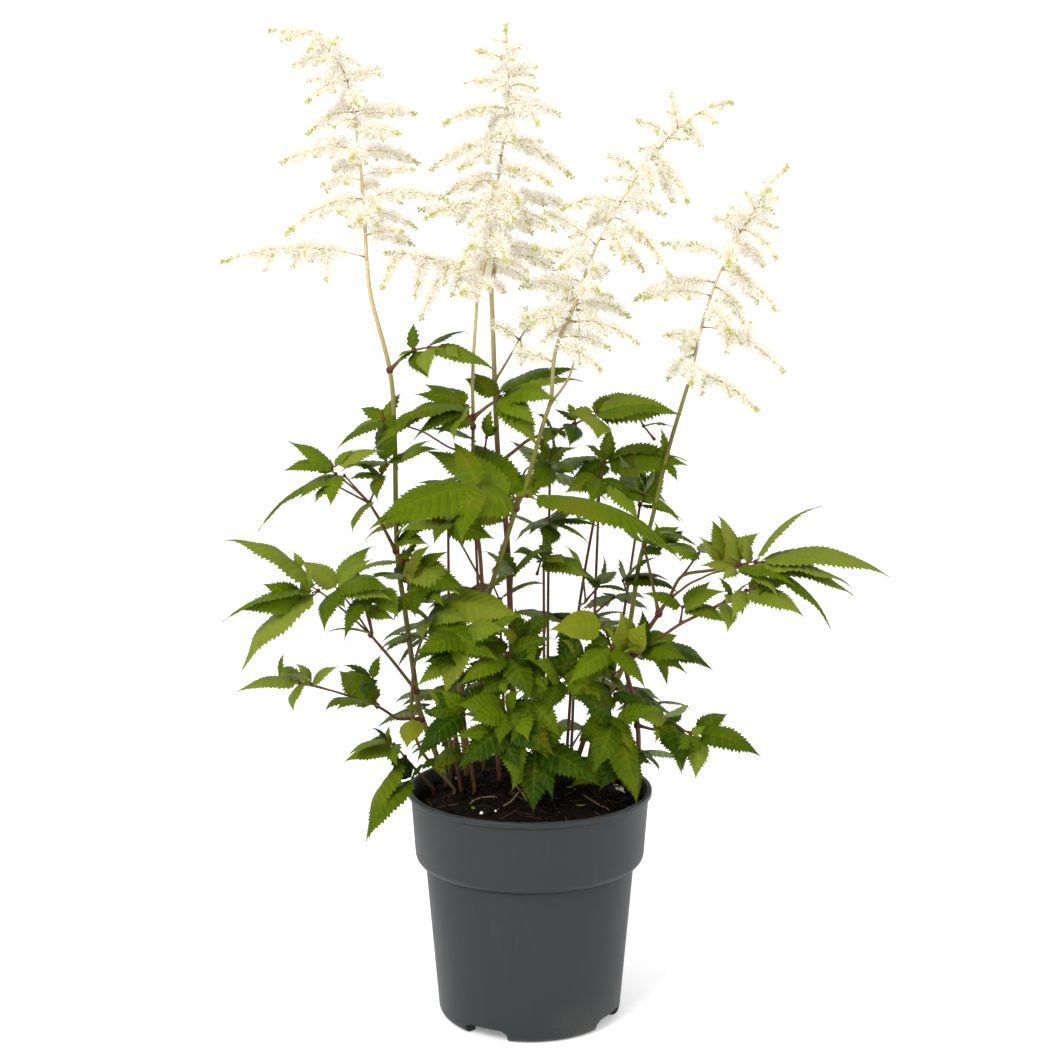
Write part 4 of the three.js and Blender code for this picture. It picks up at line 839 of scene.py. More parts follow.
def make_stem_material():
    """A smooth stalk, faintly mottled, that runs from olive to straw and to dark red."""
    material, tree, shader = new_material("plant_stem")
    red, pale, tone, knot = read_tint(tree)
    grain = add_speckle(tree, 45, 600, 0.25)
    streaked = add_math(tree, "MULTIPLY_ADD", grain["Fine"], 0.5, add_math(tree, "MULTIPLY", tone, 0.25))
    green = add_mix(tree, pale, STEM_OLIVE, STEM_PALE)
    shaded = add_mix(tree, add_ramp(tree, streaked, (0.2, 0.45), (0.6, 0.0)), green, STEM_SHADE)
    blotched = add_math(tree, "MULTIPLY", red, add_ramp(tree, grain["Mask"], (0.3, 0.65), (0.5, 1.0)))
    reddened = add_mix(tree, blotched, shaded, STEM_RED)
    rough = add_ramp(tree, grain["Fine"], (0.3, 0.38), (0.7, 0.55))
    wire_surface(
        tree, shader, add_mix(tree, knot, reddened, KNOT_RED), rough, grain["Normal"], 0.2)
    return material


STEM_MATERIAL = make_stem_material()


def make_stems():
    chance = random.Random(STEM_SEED)
    growths = {}
    for stem in FLOWER_STEMS:
        name = stem["name"]
        growths[f"stem_{name}"] = Growth()
        path = rising(stem["root"], stem["path"], 10)
        add_limb(growths[f"stem_{name}"], path, stem["thick"], stem["thin"], stem_tint(name, chance))
    for side in SIDE_PLUMES:
        parent = side["stem"].split("_")[1]
        thick, thin = side["thick"] + 0.1, side["thick"] - SHOOT_THINNING
        add_limb(growths[side["stem"]], smooth(side["shoot"], 8), thick, thin,
                 stem_tint(parent, chance), 8, [(side["shoot"][0], 0.5, 3)])
    growths["stem_leafy"] = Growth()
    leafy = rising(LEAFY_ROOT, LEAFY_STEM, 10)
    add_limb(growths["stem_leafy"], leafy, LEAFY_THICK, LEAFY_THIN, stem_tint("leafy", chance))
    for name, growth in growths.items():
        link_piece(name + "_stalk", growth.mesh(name + "_stalk"), STEM_MATERIAL, "stem", name)


make_stems()

# ---- Plumes -------------------------------------------------------------------------------------
# Each plume is a stalk with arching side branches that hang at their tips. Small creamy flowers
# crowd round every branch, five narrow petals each, and the tips end in round green buds.

BARE_SHARE = 0.12
FLORETS_PER_MM = 1.72
MAIN_FLOWER_SIZE = 1.22
LESSER_FLOWER_SIZE = 0.95
BUDS_PER_MM = 1.2
PETALS = 5
# The strength of the glow painted on the flowers and buds, which stands for the daylight that comes through
# them.
PETAL_GLOW = 0.2
PETAL_LENGTH = 5.1
BRANCH_RADIUS = 0.5
SIDE_BRANCH_RADIUS = 0.32
LESSER_BRANCH_RADIUS = 0.28
TWIG_RADIUS = 0.22
LIMB_TIP_RADIUS = 0.16
STALK_TIP_RADIUS = 0.35
LONGEST_TWIG = 14
TWIG_SPACING = 9
TWIGS_FROM_LENGTH = 22
GOLDEN_ANGLE = math.pi * (3 - math.sqrt(5))
STALK_BLOOM_FROM = 0.55

# How near a corner of a solid has to be to a branch's tip to be that tip, in square millimetres.
TIP_MATCH = 0.06

# The share of each plume's flowers that are open. The rest are still buds.
OPEN_SHARE = {
    "left": 0.98, "centre": 0.95, "front": 0.94, "crossing": 0.93, "right": 0.9,
    "crossing_low": 0.9, "centre_low": 0.93,
}

# The ways in which a branch or a leaflet is bent aside where its neighbours leave it no room, as
# [sideways, upwards] angles and the share of its length that it keeps.
BENDS = [
    [0, 0, 1], [0, 0.14, 1], [0, -0.14, 1], [0.14, 0, 1], [-0.14, 0, 1],
    [0, 0.28, 1], [0.28, 0, 1], [-0.28, 0, 1], [0, -0.28, 1],
    [0.2, 0.2, 1], [-0.2, 0.2, 1], [0.2, -0.2, 1], [-0.2, -0.2, 1],
    [0, 0.45, 1], [0.45, 0, 1], [-0.45, 0, 1], [0, -0.45, 1],
    [0, 0, 0.75], [0.3, 0.3, 0.8], [-0.3, 0.3, 0.8], [0.3, -0.3, 0.8], [-0.3, -0.3, 0.8],
    [0, 0.6, 0.7], [0.6, 0, 0.7], [-0.6, 0, 0.7], [0, -0.6, 0.7],
    [0.5, 0.4, 0.55], [-0.5, 0.4, 0.55], [0, 0, 0.5], [0.9, 0.2, 0.5], [-0.9, 0.2, 0.5],
]

# The lesser branches of each plume: how many, the longest, and the share of the stalk they start at.
LESSER_BRANCHES = {
    "left": (32, 50, 0.08), "centre": (28, 54, 0.06), "front": (12, 34, 0.08),
    "crossing": (20, 46, 0.14), "right": (9, 36, 0.08), "crossing_low": (6, 18, 0.1),
    "centre_low": (3, 14, 0.15),
}

PETAL_CREAM = (0.63, 0.605, 0.56, 1)
PETAL_FOOT = (0.64, 0.565, 0.4, 1)
CALYX_GREEN = (0.58, 0.5, 0.25, 1)
PETAL_TAN = (0.76, 0.67, 0.48, 1)
# The colour of the glow painted on the petals and their feet.
PETAL_GLOW_COLOUR = (1, 0.96, 0.86, 1)
BUD_GREEN = (0.355, 0.352, 0.105, 1)
BUD_DEEP = (0.28, 0.3, 0.06, 1)
# The colour of the glow painted on the buds.
BUD_GLOW_COLOUR = (0.74, 0.73, 0.4, 1)


def unit(vector):
    return vector / np.linalg.norm(vector, axis=-1, keepdims=True)


def turned(vector, axis, angle):
    return np.array(Quaternion(Vector(axis), angle) @ Vector(vector))


def bent(root, tip, face, bend):
    """The tip of a branch or leaflet once it is bent aside."""
    sideways, upwards, share = bend
    run = (tip - root) * share
    across = unit(np.cross(face, run))
    return root + turned(turned(run, across, -upwards), face, sideways)


def node_corners(name):
    """The corners of a solid, in millimetres from the pot's axis."""
    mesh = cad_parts[name].data
    corners = np.array([corner.co for corner in mesh.vertices])
    return (corners - np.array(POT_AXIS)) / MM


def grown_tip(corners, root, tip, face):
    """Where the solid's own branch or leaflet ends: the first bend whose tip is one of its
    corners. None where the solid has none."""
    for bend in BENDS:
        end = bent(root, tip, face, bend)
        if np.min(np.sum((corners - end) ** 2, axis=1)) < TIP_MATCH:
            return end
    return None


def arched(root, tip):
    """The middle point of a branch that rises a little, arches over and hangs to its tip."""
    run = tip - root
    lift = 0.16 * np.linalg.norm(run) + 0.2 * max(0, -run[2])
    return (root + tip) / 2 + np.array((0, 0, lift))


def bow(root, middle, tip, steps):
    share = np.linspace(0, 1, steps + 1)[:, None]
    return (1 - share) ** 2 * root + 2 * share * (1 - share) * middle + share ** 2 * tip


def branch_root(root, tip, share):
    """The place at a share of an arched branch."""
    steps = max(3, math.floor(np.linalg.norm(tip - root) / 10.5 + 0.5))
    return point_along(bow(root, arched(root, tip), tip, steps), share)


def spots(rows):
    places, ways, sizes = (np.array(part) for part in zip(*rows))
    return places, ways, sizes[:, None]


def add_slivers(growth, feet, runs, ups, lengths, widths, tints):
    """Narrow petals, each a thin four-cornered body: a foot, two sides past its middle and a tip."""
    sides = np.cross(runs, ups)
    belly = feet + runs * lengths * 0.62
    corners = np.stack([
        feet, belly - sides * widths / 2 + ups * 0.06, belly + sides * widths / 2 + ups * 0.06,
        feet + runs * lengths - ups * lengths * 0.12], axis=1)
    count = len(feet)
    one = np.array([(0, 1, 2), (1, 3, 2), (0, 3, 1), (0, 2, 3)])
    faces = (4 * np.arange(count)[:, None, None] + one).reshape(-1, 3)
    growth.add(corners.reshape(-1, 3), faces, tints.reshape(-1, 3))


def add_flowers(growth, rows, chance):
    """Open flowers: a greenish foot on the branch and five cream petals that spread from it."""
    places, ways, sizes = spots(rows)
    count = len(places)
    side = unit(np.cross(ways, (0.3, 0.2, 0.93)))
    other = np.cross(ways, side)
    tones = chance.random((count, 1))
    feet = places + ways * sizes * 1.1
    foot_tint = np.stack([np.full((count, 4), 0.62), np.repeat(tones, 4, 1), np.zeros((count, 4))], 2)
    add_slivers(growth, places, ways, side, sizes * 2.0, sizes * 0.8, foot_tint)
    for petal in range(PETALS):
        turn = FULL_TURN * (petal + 0.35 * chance.random((count, 1))) / PETALS + tones * 9
        open_to = 0.55 + 0.5 * chance.random((count, 1))
        runs = unit(ways * np.cos(open_to) + (side * np.cos(turn) + other * np.sin(turn)) * np.sin(open_to))
        ups = unit(ways - runs * np.sum(ways * runs, axis=1, keepdims=True))
        lengths = sizes * PETAL_LENGTH * (0.75 + 0.6 * chance.random((count, 1)))
        widths = sizes * (0.4 + 0.26 * chance.random((count, 1)))
        kind = np.tile((0.36, 0.08, 0.08, 0), (count, 1))
        tints = np.stack([kind, np.repeat(tones, 4, 1), np.zeros((count, 4))], 2)
        add_slivers(growth, feet, runs, ups, lengths, widths, tints)


def add_buds(growth, rows, chance):
    """Round closed buds on short feet."""
    points, faces = ball(1)
    for place, way, size in rows:
        radius = (0.62 + 0.5 * size) * chance.uniform(0.8, 1.15)
        shape = points * (radius, radius, radius * 1.2)
        turn = Vector(way).to_track_quat("Z", "Y").to_matrix()
        middle = place + way * (0.35 + radius)
        growth.add(shape @ np.array(turn).T + middle, faces, (1, chance.random(), 0))


def make_petal_material():
    """Thin creamy petals, tan at the foot, and yellow-green calyxes and buds. A faint painted glow on all
    of them stands for the daylight that comes through them."""
    material, tree, shader = new_material("petals")
    kind, tone, _, _ = read_tint(tree)
    grain = add_speckle(tree, 120, 900, 0.15)
    flower = add_ramp(
        tree, kind, (0.0, PETAL_CREAM), (0.36, PETAL_FOOT), (0.62, CALYX_GREEN), (1.0, BUD_GREEN))
    shift = add_math(tree, "MULTIPLY_ADD", tone, 0.5, add_math(tree, "MULTIPLY", grain["Fine"], 0.4))
    deep = add_mix(tree, kind, PETAL_TAN, BUD_DEEP)
    amount = add_ramp(tree, shift, (0.3, 0.0), (0.9, 0.4))
    rough = add_ramp(tree, grain["Fine"], (0.3, 0.6), (0.7, 0.75))
    wire_surface(tree, shader, add_mix(tree, amount, flower, deep), rough, grain["Normal"], 0.2)
    glow = add_ramp(tree, kind, (0.62, PETAL_GLOW_COLOUR), (1.0, BUD_GLOW_COLOUR))
    tree.links.new(glow, shader.inputs["Emission Color"])
    shader.inputs["Emission Strength"].default_value = PETAL_GLOW
    return material


PETAL_MATERIAL = make_petal_material()


class Plume:
    """One plume while it grows: its limbs, and the places round them where flowers and buds sit."""

    def __init__(self, name, foot, stalk, thick):
        self.name, self.kind = name, name.removeprefix("plume_")
        self.chance = random.Random(name)
        self.corners = node_corners(name)
        self.limbs, self.flowers, self.buds = Growth(), [], []
        self.turn = 0
        self.line = [foot, *stalk]
        axis = smooth(self.line, 10)
        self.tint_at = stem_tint("left", self.chance)
        add_limb(self.limbs, axis, thick, STALK_TIP_RADIUS, self.tint_at, 10)
        self.crowd(axis, STALK_BLOOM_FROM, MAIN_FLOWER_SIZE, 0.04)

    def crowd(self, path, start, flower_size, tip_buds=0.12):
        """Flowers all round a path from a share of its length on, and buds at its tip."""
        lengths = lengths_along(path)
        total = lengths[-1]
        where = start * total
        buds_from = 1 - min(tip_buds, 7 / total) * self.chance.uniform(0.7, 1.3)
        while where < total:
            share = where / total
            self.turn += GOLDEN_ANGLE + self.chance.uniform(-0.3, 0.3)
            place, ahead, back = (
                np.array([np.interp(where + shift, lengths, path[:, axis]) for axis in range(3)])
                for shift in (0, 0.5, -0.5))
            run = unit(ahead - back)
            side = unit(np.cross(run, (0.2, 0.9, 0.4)))
            out = math.cos(self.turn) * side + math.sin(self.turn) * np.cross(run, side)
            size = (1 - 0.4 * share ** 4) * self.chance.uniform(0.82, 1.12) * flower_size
            spot = (place, unit(out + 0.35 * run), size)
            is_open = share < buds_from and self.chance.random() < OPEN_SHARE[self.kind]
            (self.flowers if is_open else self.buds).append(spot)
            where += self.chance.uniform(0.6, 1.4) / (FLORETS_PER_MM if is_open else BUDS_PER_MM)

    def foot_tint(self, root, reach):
        """Dark red-brown at the foot of a branch, and the stalk's own tint past it."""
        own = self.tint_at(root)
        return lambda place: (
            max(own[0], 1 - np.linalg.norm(place - root) / min(6, 0.25 * reach)), *own[1:])

    def limb(self, root, tip, thick, steps, red_foot=False):
        """An arched limb with its flowers. Returns its path and how far it reaches."""
        path = bow(root, arched(root, tip), tip, steps)
        reach = np.linalg.norm(tip - root)
        tint = self.foot_tint(root, reach) if red_foot else self.tint_at
        add_limb(self.limbs, path, thick, LIMB_TIP_RADIUS, tint, 5, [(root, 0.3, 2.2)])
        is_main = thick >= SIDE_BRANCH_RADIUS
        self.crowd(path, BARE_SHARE, MAIN_FLOWER_SIZE if is_main else LESSER_FLOWER_SIZE)
        return path, reach

    def twigs(self, path, reach):
        """Short twigs that hang and spread from a long branch, longest near its foot."""
        if reach <= TWIGS_FROM_LENGTH:
            return
        chance = self.chance
        count = int(reach * 0.75 / TWIG_SPACING)
        for number in range(count):
            share = 0.2 + 0.62 * (number + chance.uniform(0.2, 0.8)) / count
            root = path[round(share * (len(path) - 1))]
            run = unit(path[-1] - path[0])
            side = unit(np.cross(run, UP)) * (1 if number % 2 else -1)
            way = 0.55 * run + side * chance.uniform(0.35, 0.9) - np.array(UP) * chance.uniform(0.15, 0.7)
            length = min(LONGEST_TWIG, 0.32 * reach) * (1.15 - share) * chance.uniform(0.8, 1.3)
            self.limb(root, root + unit(way) * length, TWIG_RADIUS, 5)

    def branch(self, root, reach, side_branches, thick):
        """A branch of the solid, with its side branches and twigs."""
        tip = grown_tip(self.corners, root, root + reach, UP)
        if tip is None:
            return
        path, length = self.limb(root, tip, thick, 16, thick == BRANCH_RADIUS)
        for share, side_reach in side_branches:
            self.branch(branch_root(root, tip, share), np.array(side_reach), [], SIDE_BRANCH_RADIUS)
        self.twigs(path, length)

    def lesser_branches(self):
        """Lesser branches all up the stalk, shorter towards its top."""
        chance = self.chance
        count, longest, first = LESSER_BRANCHES[self.kind]
        heading = chance.uniform(0, FULL_TURN)
        for number in range(count):
            share = first + (0.95 - first) * (number + chance.random()) / count
            heading += GOLDEN_ANGLE
            length = (longest * (1 - share) ** 0.8 + 10) * chance.uniform(0.5, 0.9)
            way = np.array((math.cos(heading), 0.9 * math.sin(heading), chance.uniform(-0.35, 0.15)))
            root = point_along(self.line, share)
            self.twigs(*self.limb(root, root + way * length, LESSER_BRANCH_RADIUS, 9))

    def finished(self):
        """Puts the flowers and buds on, and links the two pieces of the plume."""
        name = self.name
        growth = Growth()
        add_flowers(growth, self.flowers, np.random.default_rng(len(self.flowers)))
        add_buds(growth, self.buds, self.chance)
        link_piece(name + "_branches", self.limbs.mesh(name + "_branches"), STEM_MATERIAL, "stem", name)
        link_piece(name + "_flowers", growth.mesh(name + "_flowers", 50), PETAL_MATERIAL, "plume", name)


def grow_plume(name, foot, stalk, branches, thick):
    plume = Plume("plume_" + name, foot, stalk, thick)
    for share, reach, *side_branches in branches:
        plume.branch(point_along(plume.line, share), np.array(reach), side_branches, BRANCH_RADIUS)
    plume.lesser_branches()
    plume.finished()


def make_plumes():
    for stem in FLOWER_STEMS:
        foot = rising(stem["root"], stem["path"], 2)[-1]
        grow_plume(stem["name"], foot, stem["stalk"], stem["branches"], stem["thin"])
    for side in SIDE_PLUMES:
        thick = side["thick"] - SHOOT_THINNING
        grow_plume(side["name"], side["shoot"][-1], side["stalk"], side["branches"], thick)


make_plumes()

# ---- Leaves -------------------------------------------------------------------------------------
# Compound leaves on wiry red-brown stalks with dark knots where they fork. The leaflets are drawn
# out to a tip, doubly saw-toothed and pleated along their side veins, dull and pale underneath.

LEAF_SEED = 700
BUSH_SEED = 90
BUSH_LEAVES = 8
LEAF_CHANCE_SEED = 12
SIDE_LEAFLET_SIZE = 0.7
SIDE_LEAFLET_ANGLE = 1.15
UPPER_LEAVES = 320
LEAF_STALK_RADIUS = 1.2
SPRAY_STALK_RADIUS = 0.8

# The radii of the thinnest stalks at their foot and at their end, and those of the knots.
LEAFLET_STALK = (0.7, 0.45)
LESSER_STALK = (0.85, 0.65)
LESSER_LEAFLET_STALK = (0.6, 0.4)
STEM_KNOT = 2.5
LEAF_KNOT = 1.9
SPRAY_KNOT = 1.35
LESSER_KNOT = 1.2

# The hanging sprays on each stalk at the back: the shares of the stalk where they spring, the
# heading and length of their leaflets, and how far these turn to the front. Below 0 is to the back.
HANGING_SPRAYS = (0.32, 0.62)
HANGING_LEAFLETS = ((0.0, 36), (1.15, 30), (-1.15, 30), (2.6, 26))
HANGING_FRONT = -0.35

BLADE_WIDTH = 0.5
LONG_BLADE_SLIMMING = 0.0019
SLIMMEST_BLADE = 0.31
AGED_WIDENING = 2.2
LOW_LEAVES = 270
LOW_WIDENING = 0.1
BLADE_ARCH = 0.11
BLADE_SAG = 0.22
BLADE_START = 0.05
BLADE_OVERLAP = 0.02
BLADE_DROOP = 0.06
BLADE_SWEEP = 0.035
BLADE_RIPPLE = (0.004, 0.016)
BLADE_TWIST = 0.25
BLADE_THICKNESS = 0.14
RIB_THICKENING = 0.0022
RIB_KEEL = 0.25
TOOTHED_FROM_LENGTH = 26
FINE_FROM_LENGTH = 36
VEIN_SLANT = 0.12
VEIN_RELIEF = 0.0085
TOOTH_DEPTH = 0.3

# Across half a blade from the rib to the edge, and along it from one side vein to the next: where
# the row is, how far the edge stands out as a tooth or in as a notch, and how the pleat rises.
COLUMNS = (0, 0.3, 0.62, 0.86, 1)
SMALL_COLUMNS = (0, 0.42, 0.84, 1)
TOOTH_ROWS = ((0, 1, -1), (0.14, -0.8, -0.35), (0.5, 0.6, 1), (0.64, -0.5, 0.8))
PLAIN_ROWS = ((0, 1, -1), (0.4, -0.8, 0.9))

# From deep to bright green. A leaflet's green comes partly from its own random tone and partly from painted
# light and shade by its place: painted shade low and inside the bush, painted light high and outside it.
# The blue in the brightest green is a painted sheen.
LEAF_DEEP_SHADED = (0.012, 0.032, 0.0008, 1)
LEAF_GREEN = (0.071, 0.107, 0.0015, 1)
LEAF_BRIGHT_LIT = (0.144, 0.178, 0.02, 1)
LEAF_VEIN = (0.19, 0.24, 0.012, 1)
LEAF_UNDER = (0.17, 0.21, 0.07, 1)
UNDER_VEIN = (0.34, 0.4, 0.2, 1)
UNDER_ROUGHNESS = (0.8, 0.8, 0.8, 1)
LEAF_BLUSH = (0.11, 0.055, 0.004, 1)
LEAF_YELLOW = (0.17, 0.18, 0.012, 1)
LEAF_BROWN = (0.14, 0.05, 0.015, 1)

# Each leaf: the solid it belongs to, its root on the ground where it is a basal leaf, the path of
# its stalk, the sprays that spring from the knot at the stalk's end, and single leaflets there.
# Then, by number, how yellow its aged leaflets are, how far some turn their faces to the front and
# how much darker than the others some are.
LEAVES = [
    # On the left flower stem, from the top down.
    {
        "on": "stem_left", "path": [[-94, -5, 452], [-85, -12, 461], [-77, -16, 466]],
        "sprays": [[[-67, -20, 468], [-22, -34, 454]]],
        "single": [[-89, -26, 457], [-64, -38, 456], [-78, -6, 484]],
    },
    {
        "on": "stem_left", "path": [[-91, -10, 330], [-101, -20, 353], [-107, -26, 365]],
        "sprays": [[[-128, -38, 386], [-178, -54, 351], [-159, -36, 408], [-130, -66, 372]],
            [[-96, -16, 389], [-124, -50, 390], [-93, 4, 435], [-68, 8, 397]]],
        "single": [[-117, -60, 352]],
    },
    {
        "on": "stem_left", "path": [[-90, -8, 316], [-86, -14, 323]],
        "single": [[-46, -46, 307], [-75, -4, 338], [-120, -44, 318]],
    },
    {
        "on": "stem_left", "path": [[-78, -5, 231], [-94, -20, 257], [-107, -30, 276]],
        "sprays": [[[-140, -44, 309], [-201, -66, 293], [-209, -44, 330], [-192, -58, 260]],
            [[-128, -34, 308], [-90, -68, 308], [-107, -14, 335], [-155, -20, 325]]],
        "single": [[-134, -58, 284]],
        "front": {0: 0.1, 1: 0.02, 2: 0.1},
    },
    {
        "on": "stem_left", "path": [[-75, 0, 210], [-91, -10, 213], [-104, -18, 224]],
        "sprays": [[[-154, -40, 245], [-196, -52, 243]]],
        "single": [[-133, 8, 244], [-128, -58, 232]],
    },
    # On the thin front stem, to its left and right.
    {
        "on": "stem_front", "path": [[-38, -14, 415], [-41, -20, 423], [-42, -24, 429]],
        "single": [[-102, -62, 408], [-75, -16, 440], [-50, -62, 412]],
    },
    {
        "on": "stem_front", "path": [[-38, -14, 421], [-29, -12, 428], [-20, -11, 434]],
        "single": [[18, -40, 435], [34, 0, 453], [-40, -4, 451], [4, -44, 414]],
    },
    # At the top of the centre stem.
    {
        "on": "stem_centre", "path": [[-21, 15, 387], [0, 8, 404], [30, -2, 415]],
        "sprays": [[[42, -5, 421], [100, -28, 426]]],
        "single": [[26, -40, 405]],
        "aged": {1: 0.2},
    },
    # The big front leaf on the crossing stem.
    {
        "on": "stem_crossing", "path": [[-9, -28, 362], [-11, -34, 366], [-13, -40, 368]],
        "sprays": [[[-33, -56, 379], [-102, -98, 360], [-51, -34, 408], [-55, -90, 356]],
            [[-2, -48, 373], [96, -98, 341], [52, -40, 383], [40, -84, 350]]],
        "front": {0: 0.6, 3: -0.2},
        "darker": {0: 0.14, 1: 0.1, 3: 0.24},
    },
    # The big leaf on the leafy right stem, and the lesser ones below it.
    {
        "on": "stem_leafy", "path": [[87, -22, 289], [102, -32, 317], [138, -48, 327]],
        "sprays": [[[148, -52, 330], [232, -74, 324], [198, -38, 352], [204, -78, 306]]],
        "single": [[125, -22, 357], [160, -76, 312]],
        "front": {0: 0.1, 1: 0.05, 2: 0.05},
    },
    {
        "on": "stem_leafy", "path": [[68, -12, 255], [100, -34, 284], [129, -48, 302]],
        "sprays": [[[142, -54, 311], [176, -86, 302]]],
        "single": [[128, -76, 288]],
    },
    {
        "on": "stem_leafy", "path": [[87, -22, 289], [82, -10, 313], [78, 0, 332]],
        "sprays": [[[86, -8, 341], [112, -34, 337]]],
        "single": [[56, 20, 346], [104, 20, 343]],
    },
    {
        "on": "stem_leafy", "path": [[74, -5, 207], [82, -18, 208], [87, -26, 209]],
        "sprays": [[[112, -40, 211], [154, -56, 199]]],
        "single": [[101, -70, 193], [73, -46, 235]],
    },
    {
        "on": "stem_leafy", "path": [[66, -10, 251], [71, -15, 257], [75, -20, 263]],
        "single": [[105, -44, 253], [103, -6, 273], [76, -24, 292], [50, -30, 288]],
    },
    # Basal leaves, from the back to the front of the bush.
    {
        "on": "leaf_back", "root": [13, 30], "path": [[13, 38, 286], [14, 34, 376]],
        "single": [[-14, 18, 402], [15, 42, 410], [50, 10, 393], [54, 14, 362]],
    },
    {
        "on": "leaf_back_right", "root": [26, 42], "path": [[34, 48, 270], [52, 37, 384]],
        "single": [[108, 20, 388], [56, 50, 410], [40, 6, 372]],
    },
    {
        "on": "leaf_far_right", "root": [48, 30], "path": [[66, 40, 272], [77, 34, 355]],
        "single": [[61, 14, 392], [107, 20, 345], [94, 50, 385]],
    },
    {
        "on": "leaf_rim_left", "root": [-67, 0], "path": [[-76, -6, 172], [-86, -12, 186]],
        "sprays": [[[-93, -18, 197], [-126, -34, 190]]],
        "single": [[-111, -40, 138]],
        "aged": {0: 0.15},
        "front": {3: 0.1},
    },
    {
        "on": "leaf_pale", "root": [-52, -14], "path": [[-78, -8, 197], [-79, -14, 250], [-63, -22, 296]],
        "single": [[-4, -50, 292], [-84, -44, 300]],
        "aged": {0: 0.12},
    },
    {
        "on": "leaf_mid_left", "root": [-38, -22], "path": [[-45, -36, 229], [-44, -44, 281]],
        "single": [[-78, -66, 264], [-67, -36, 296], [-16, -66, 288], [-60, -72, 250]],
    },
    {
        "on": "leaf_middle", "root": [-4, -18], "path": [[-10, -32, 218], [-15, -42, 265]],
        "single": [[-47, -66, 250], [-38, -16, 274], [0, -74, 248], [16, -46, 276]],
    },
    {
        "on": "leaf_mid_right", "root": [38, -8], "path": [[47, -28, 231], [55, -40, 270]],
        "single": [[25, -66, 251], [20, -34, 280], [76, -66, 248]],
    },
    {
        "on": "leaf_front_left", "root": [-12, -16], "path": [[-13, -42, 199], [-14, -64, 221]],
        "single": [[-47, -90, 201], [-9, -94, 198], [16, -82, 208], [-38, -60, 236]],
    },
    {
        "on": "leaf_low_left", "root": [-47, -20], "path": [[-51, -38, 201], [-46, -50, 231]],
        "single": [[-74, -78, 201], [-12, -48, 244], [-70, -40, 242]],
    },
    {
        "on": "leaf_front", "root": [11, -8], "path": [[7, -36, 188], [4, -56, 205]],
        "single": [[2, -74, 166], [46, -66, 179], [28, -66, 222]],
    },
    {
        "on": "leaf_front_right", "root": [52, 2], "path": [[54, -30, 200], [56, -50, 221]],
        "single": [[42, -82, 196], [72, -58, 170], [28, -62, 244], [84, -60, 234]],
    },
]

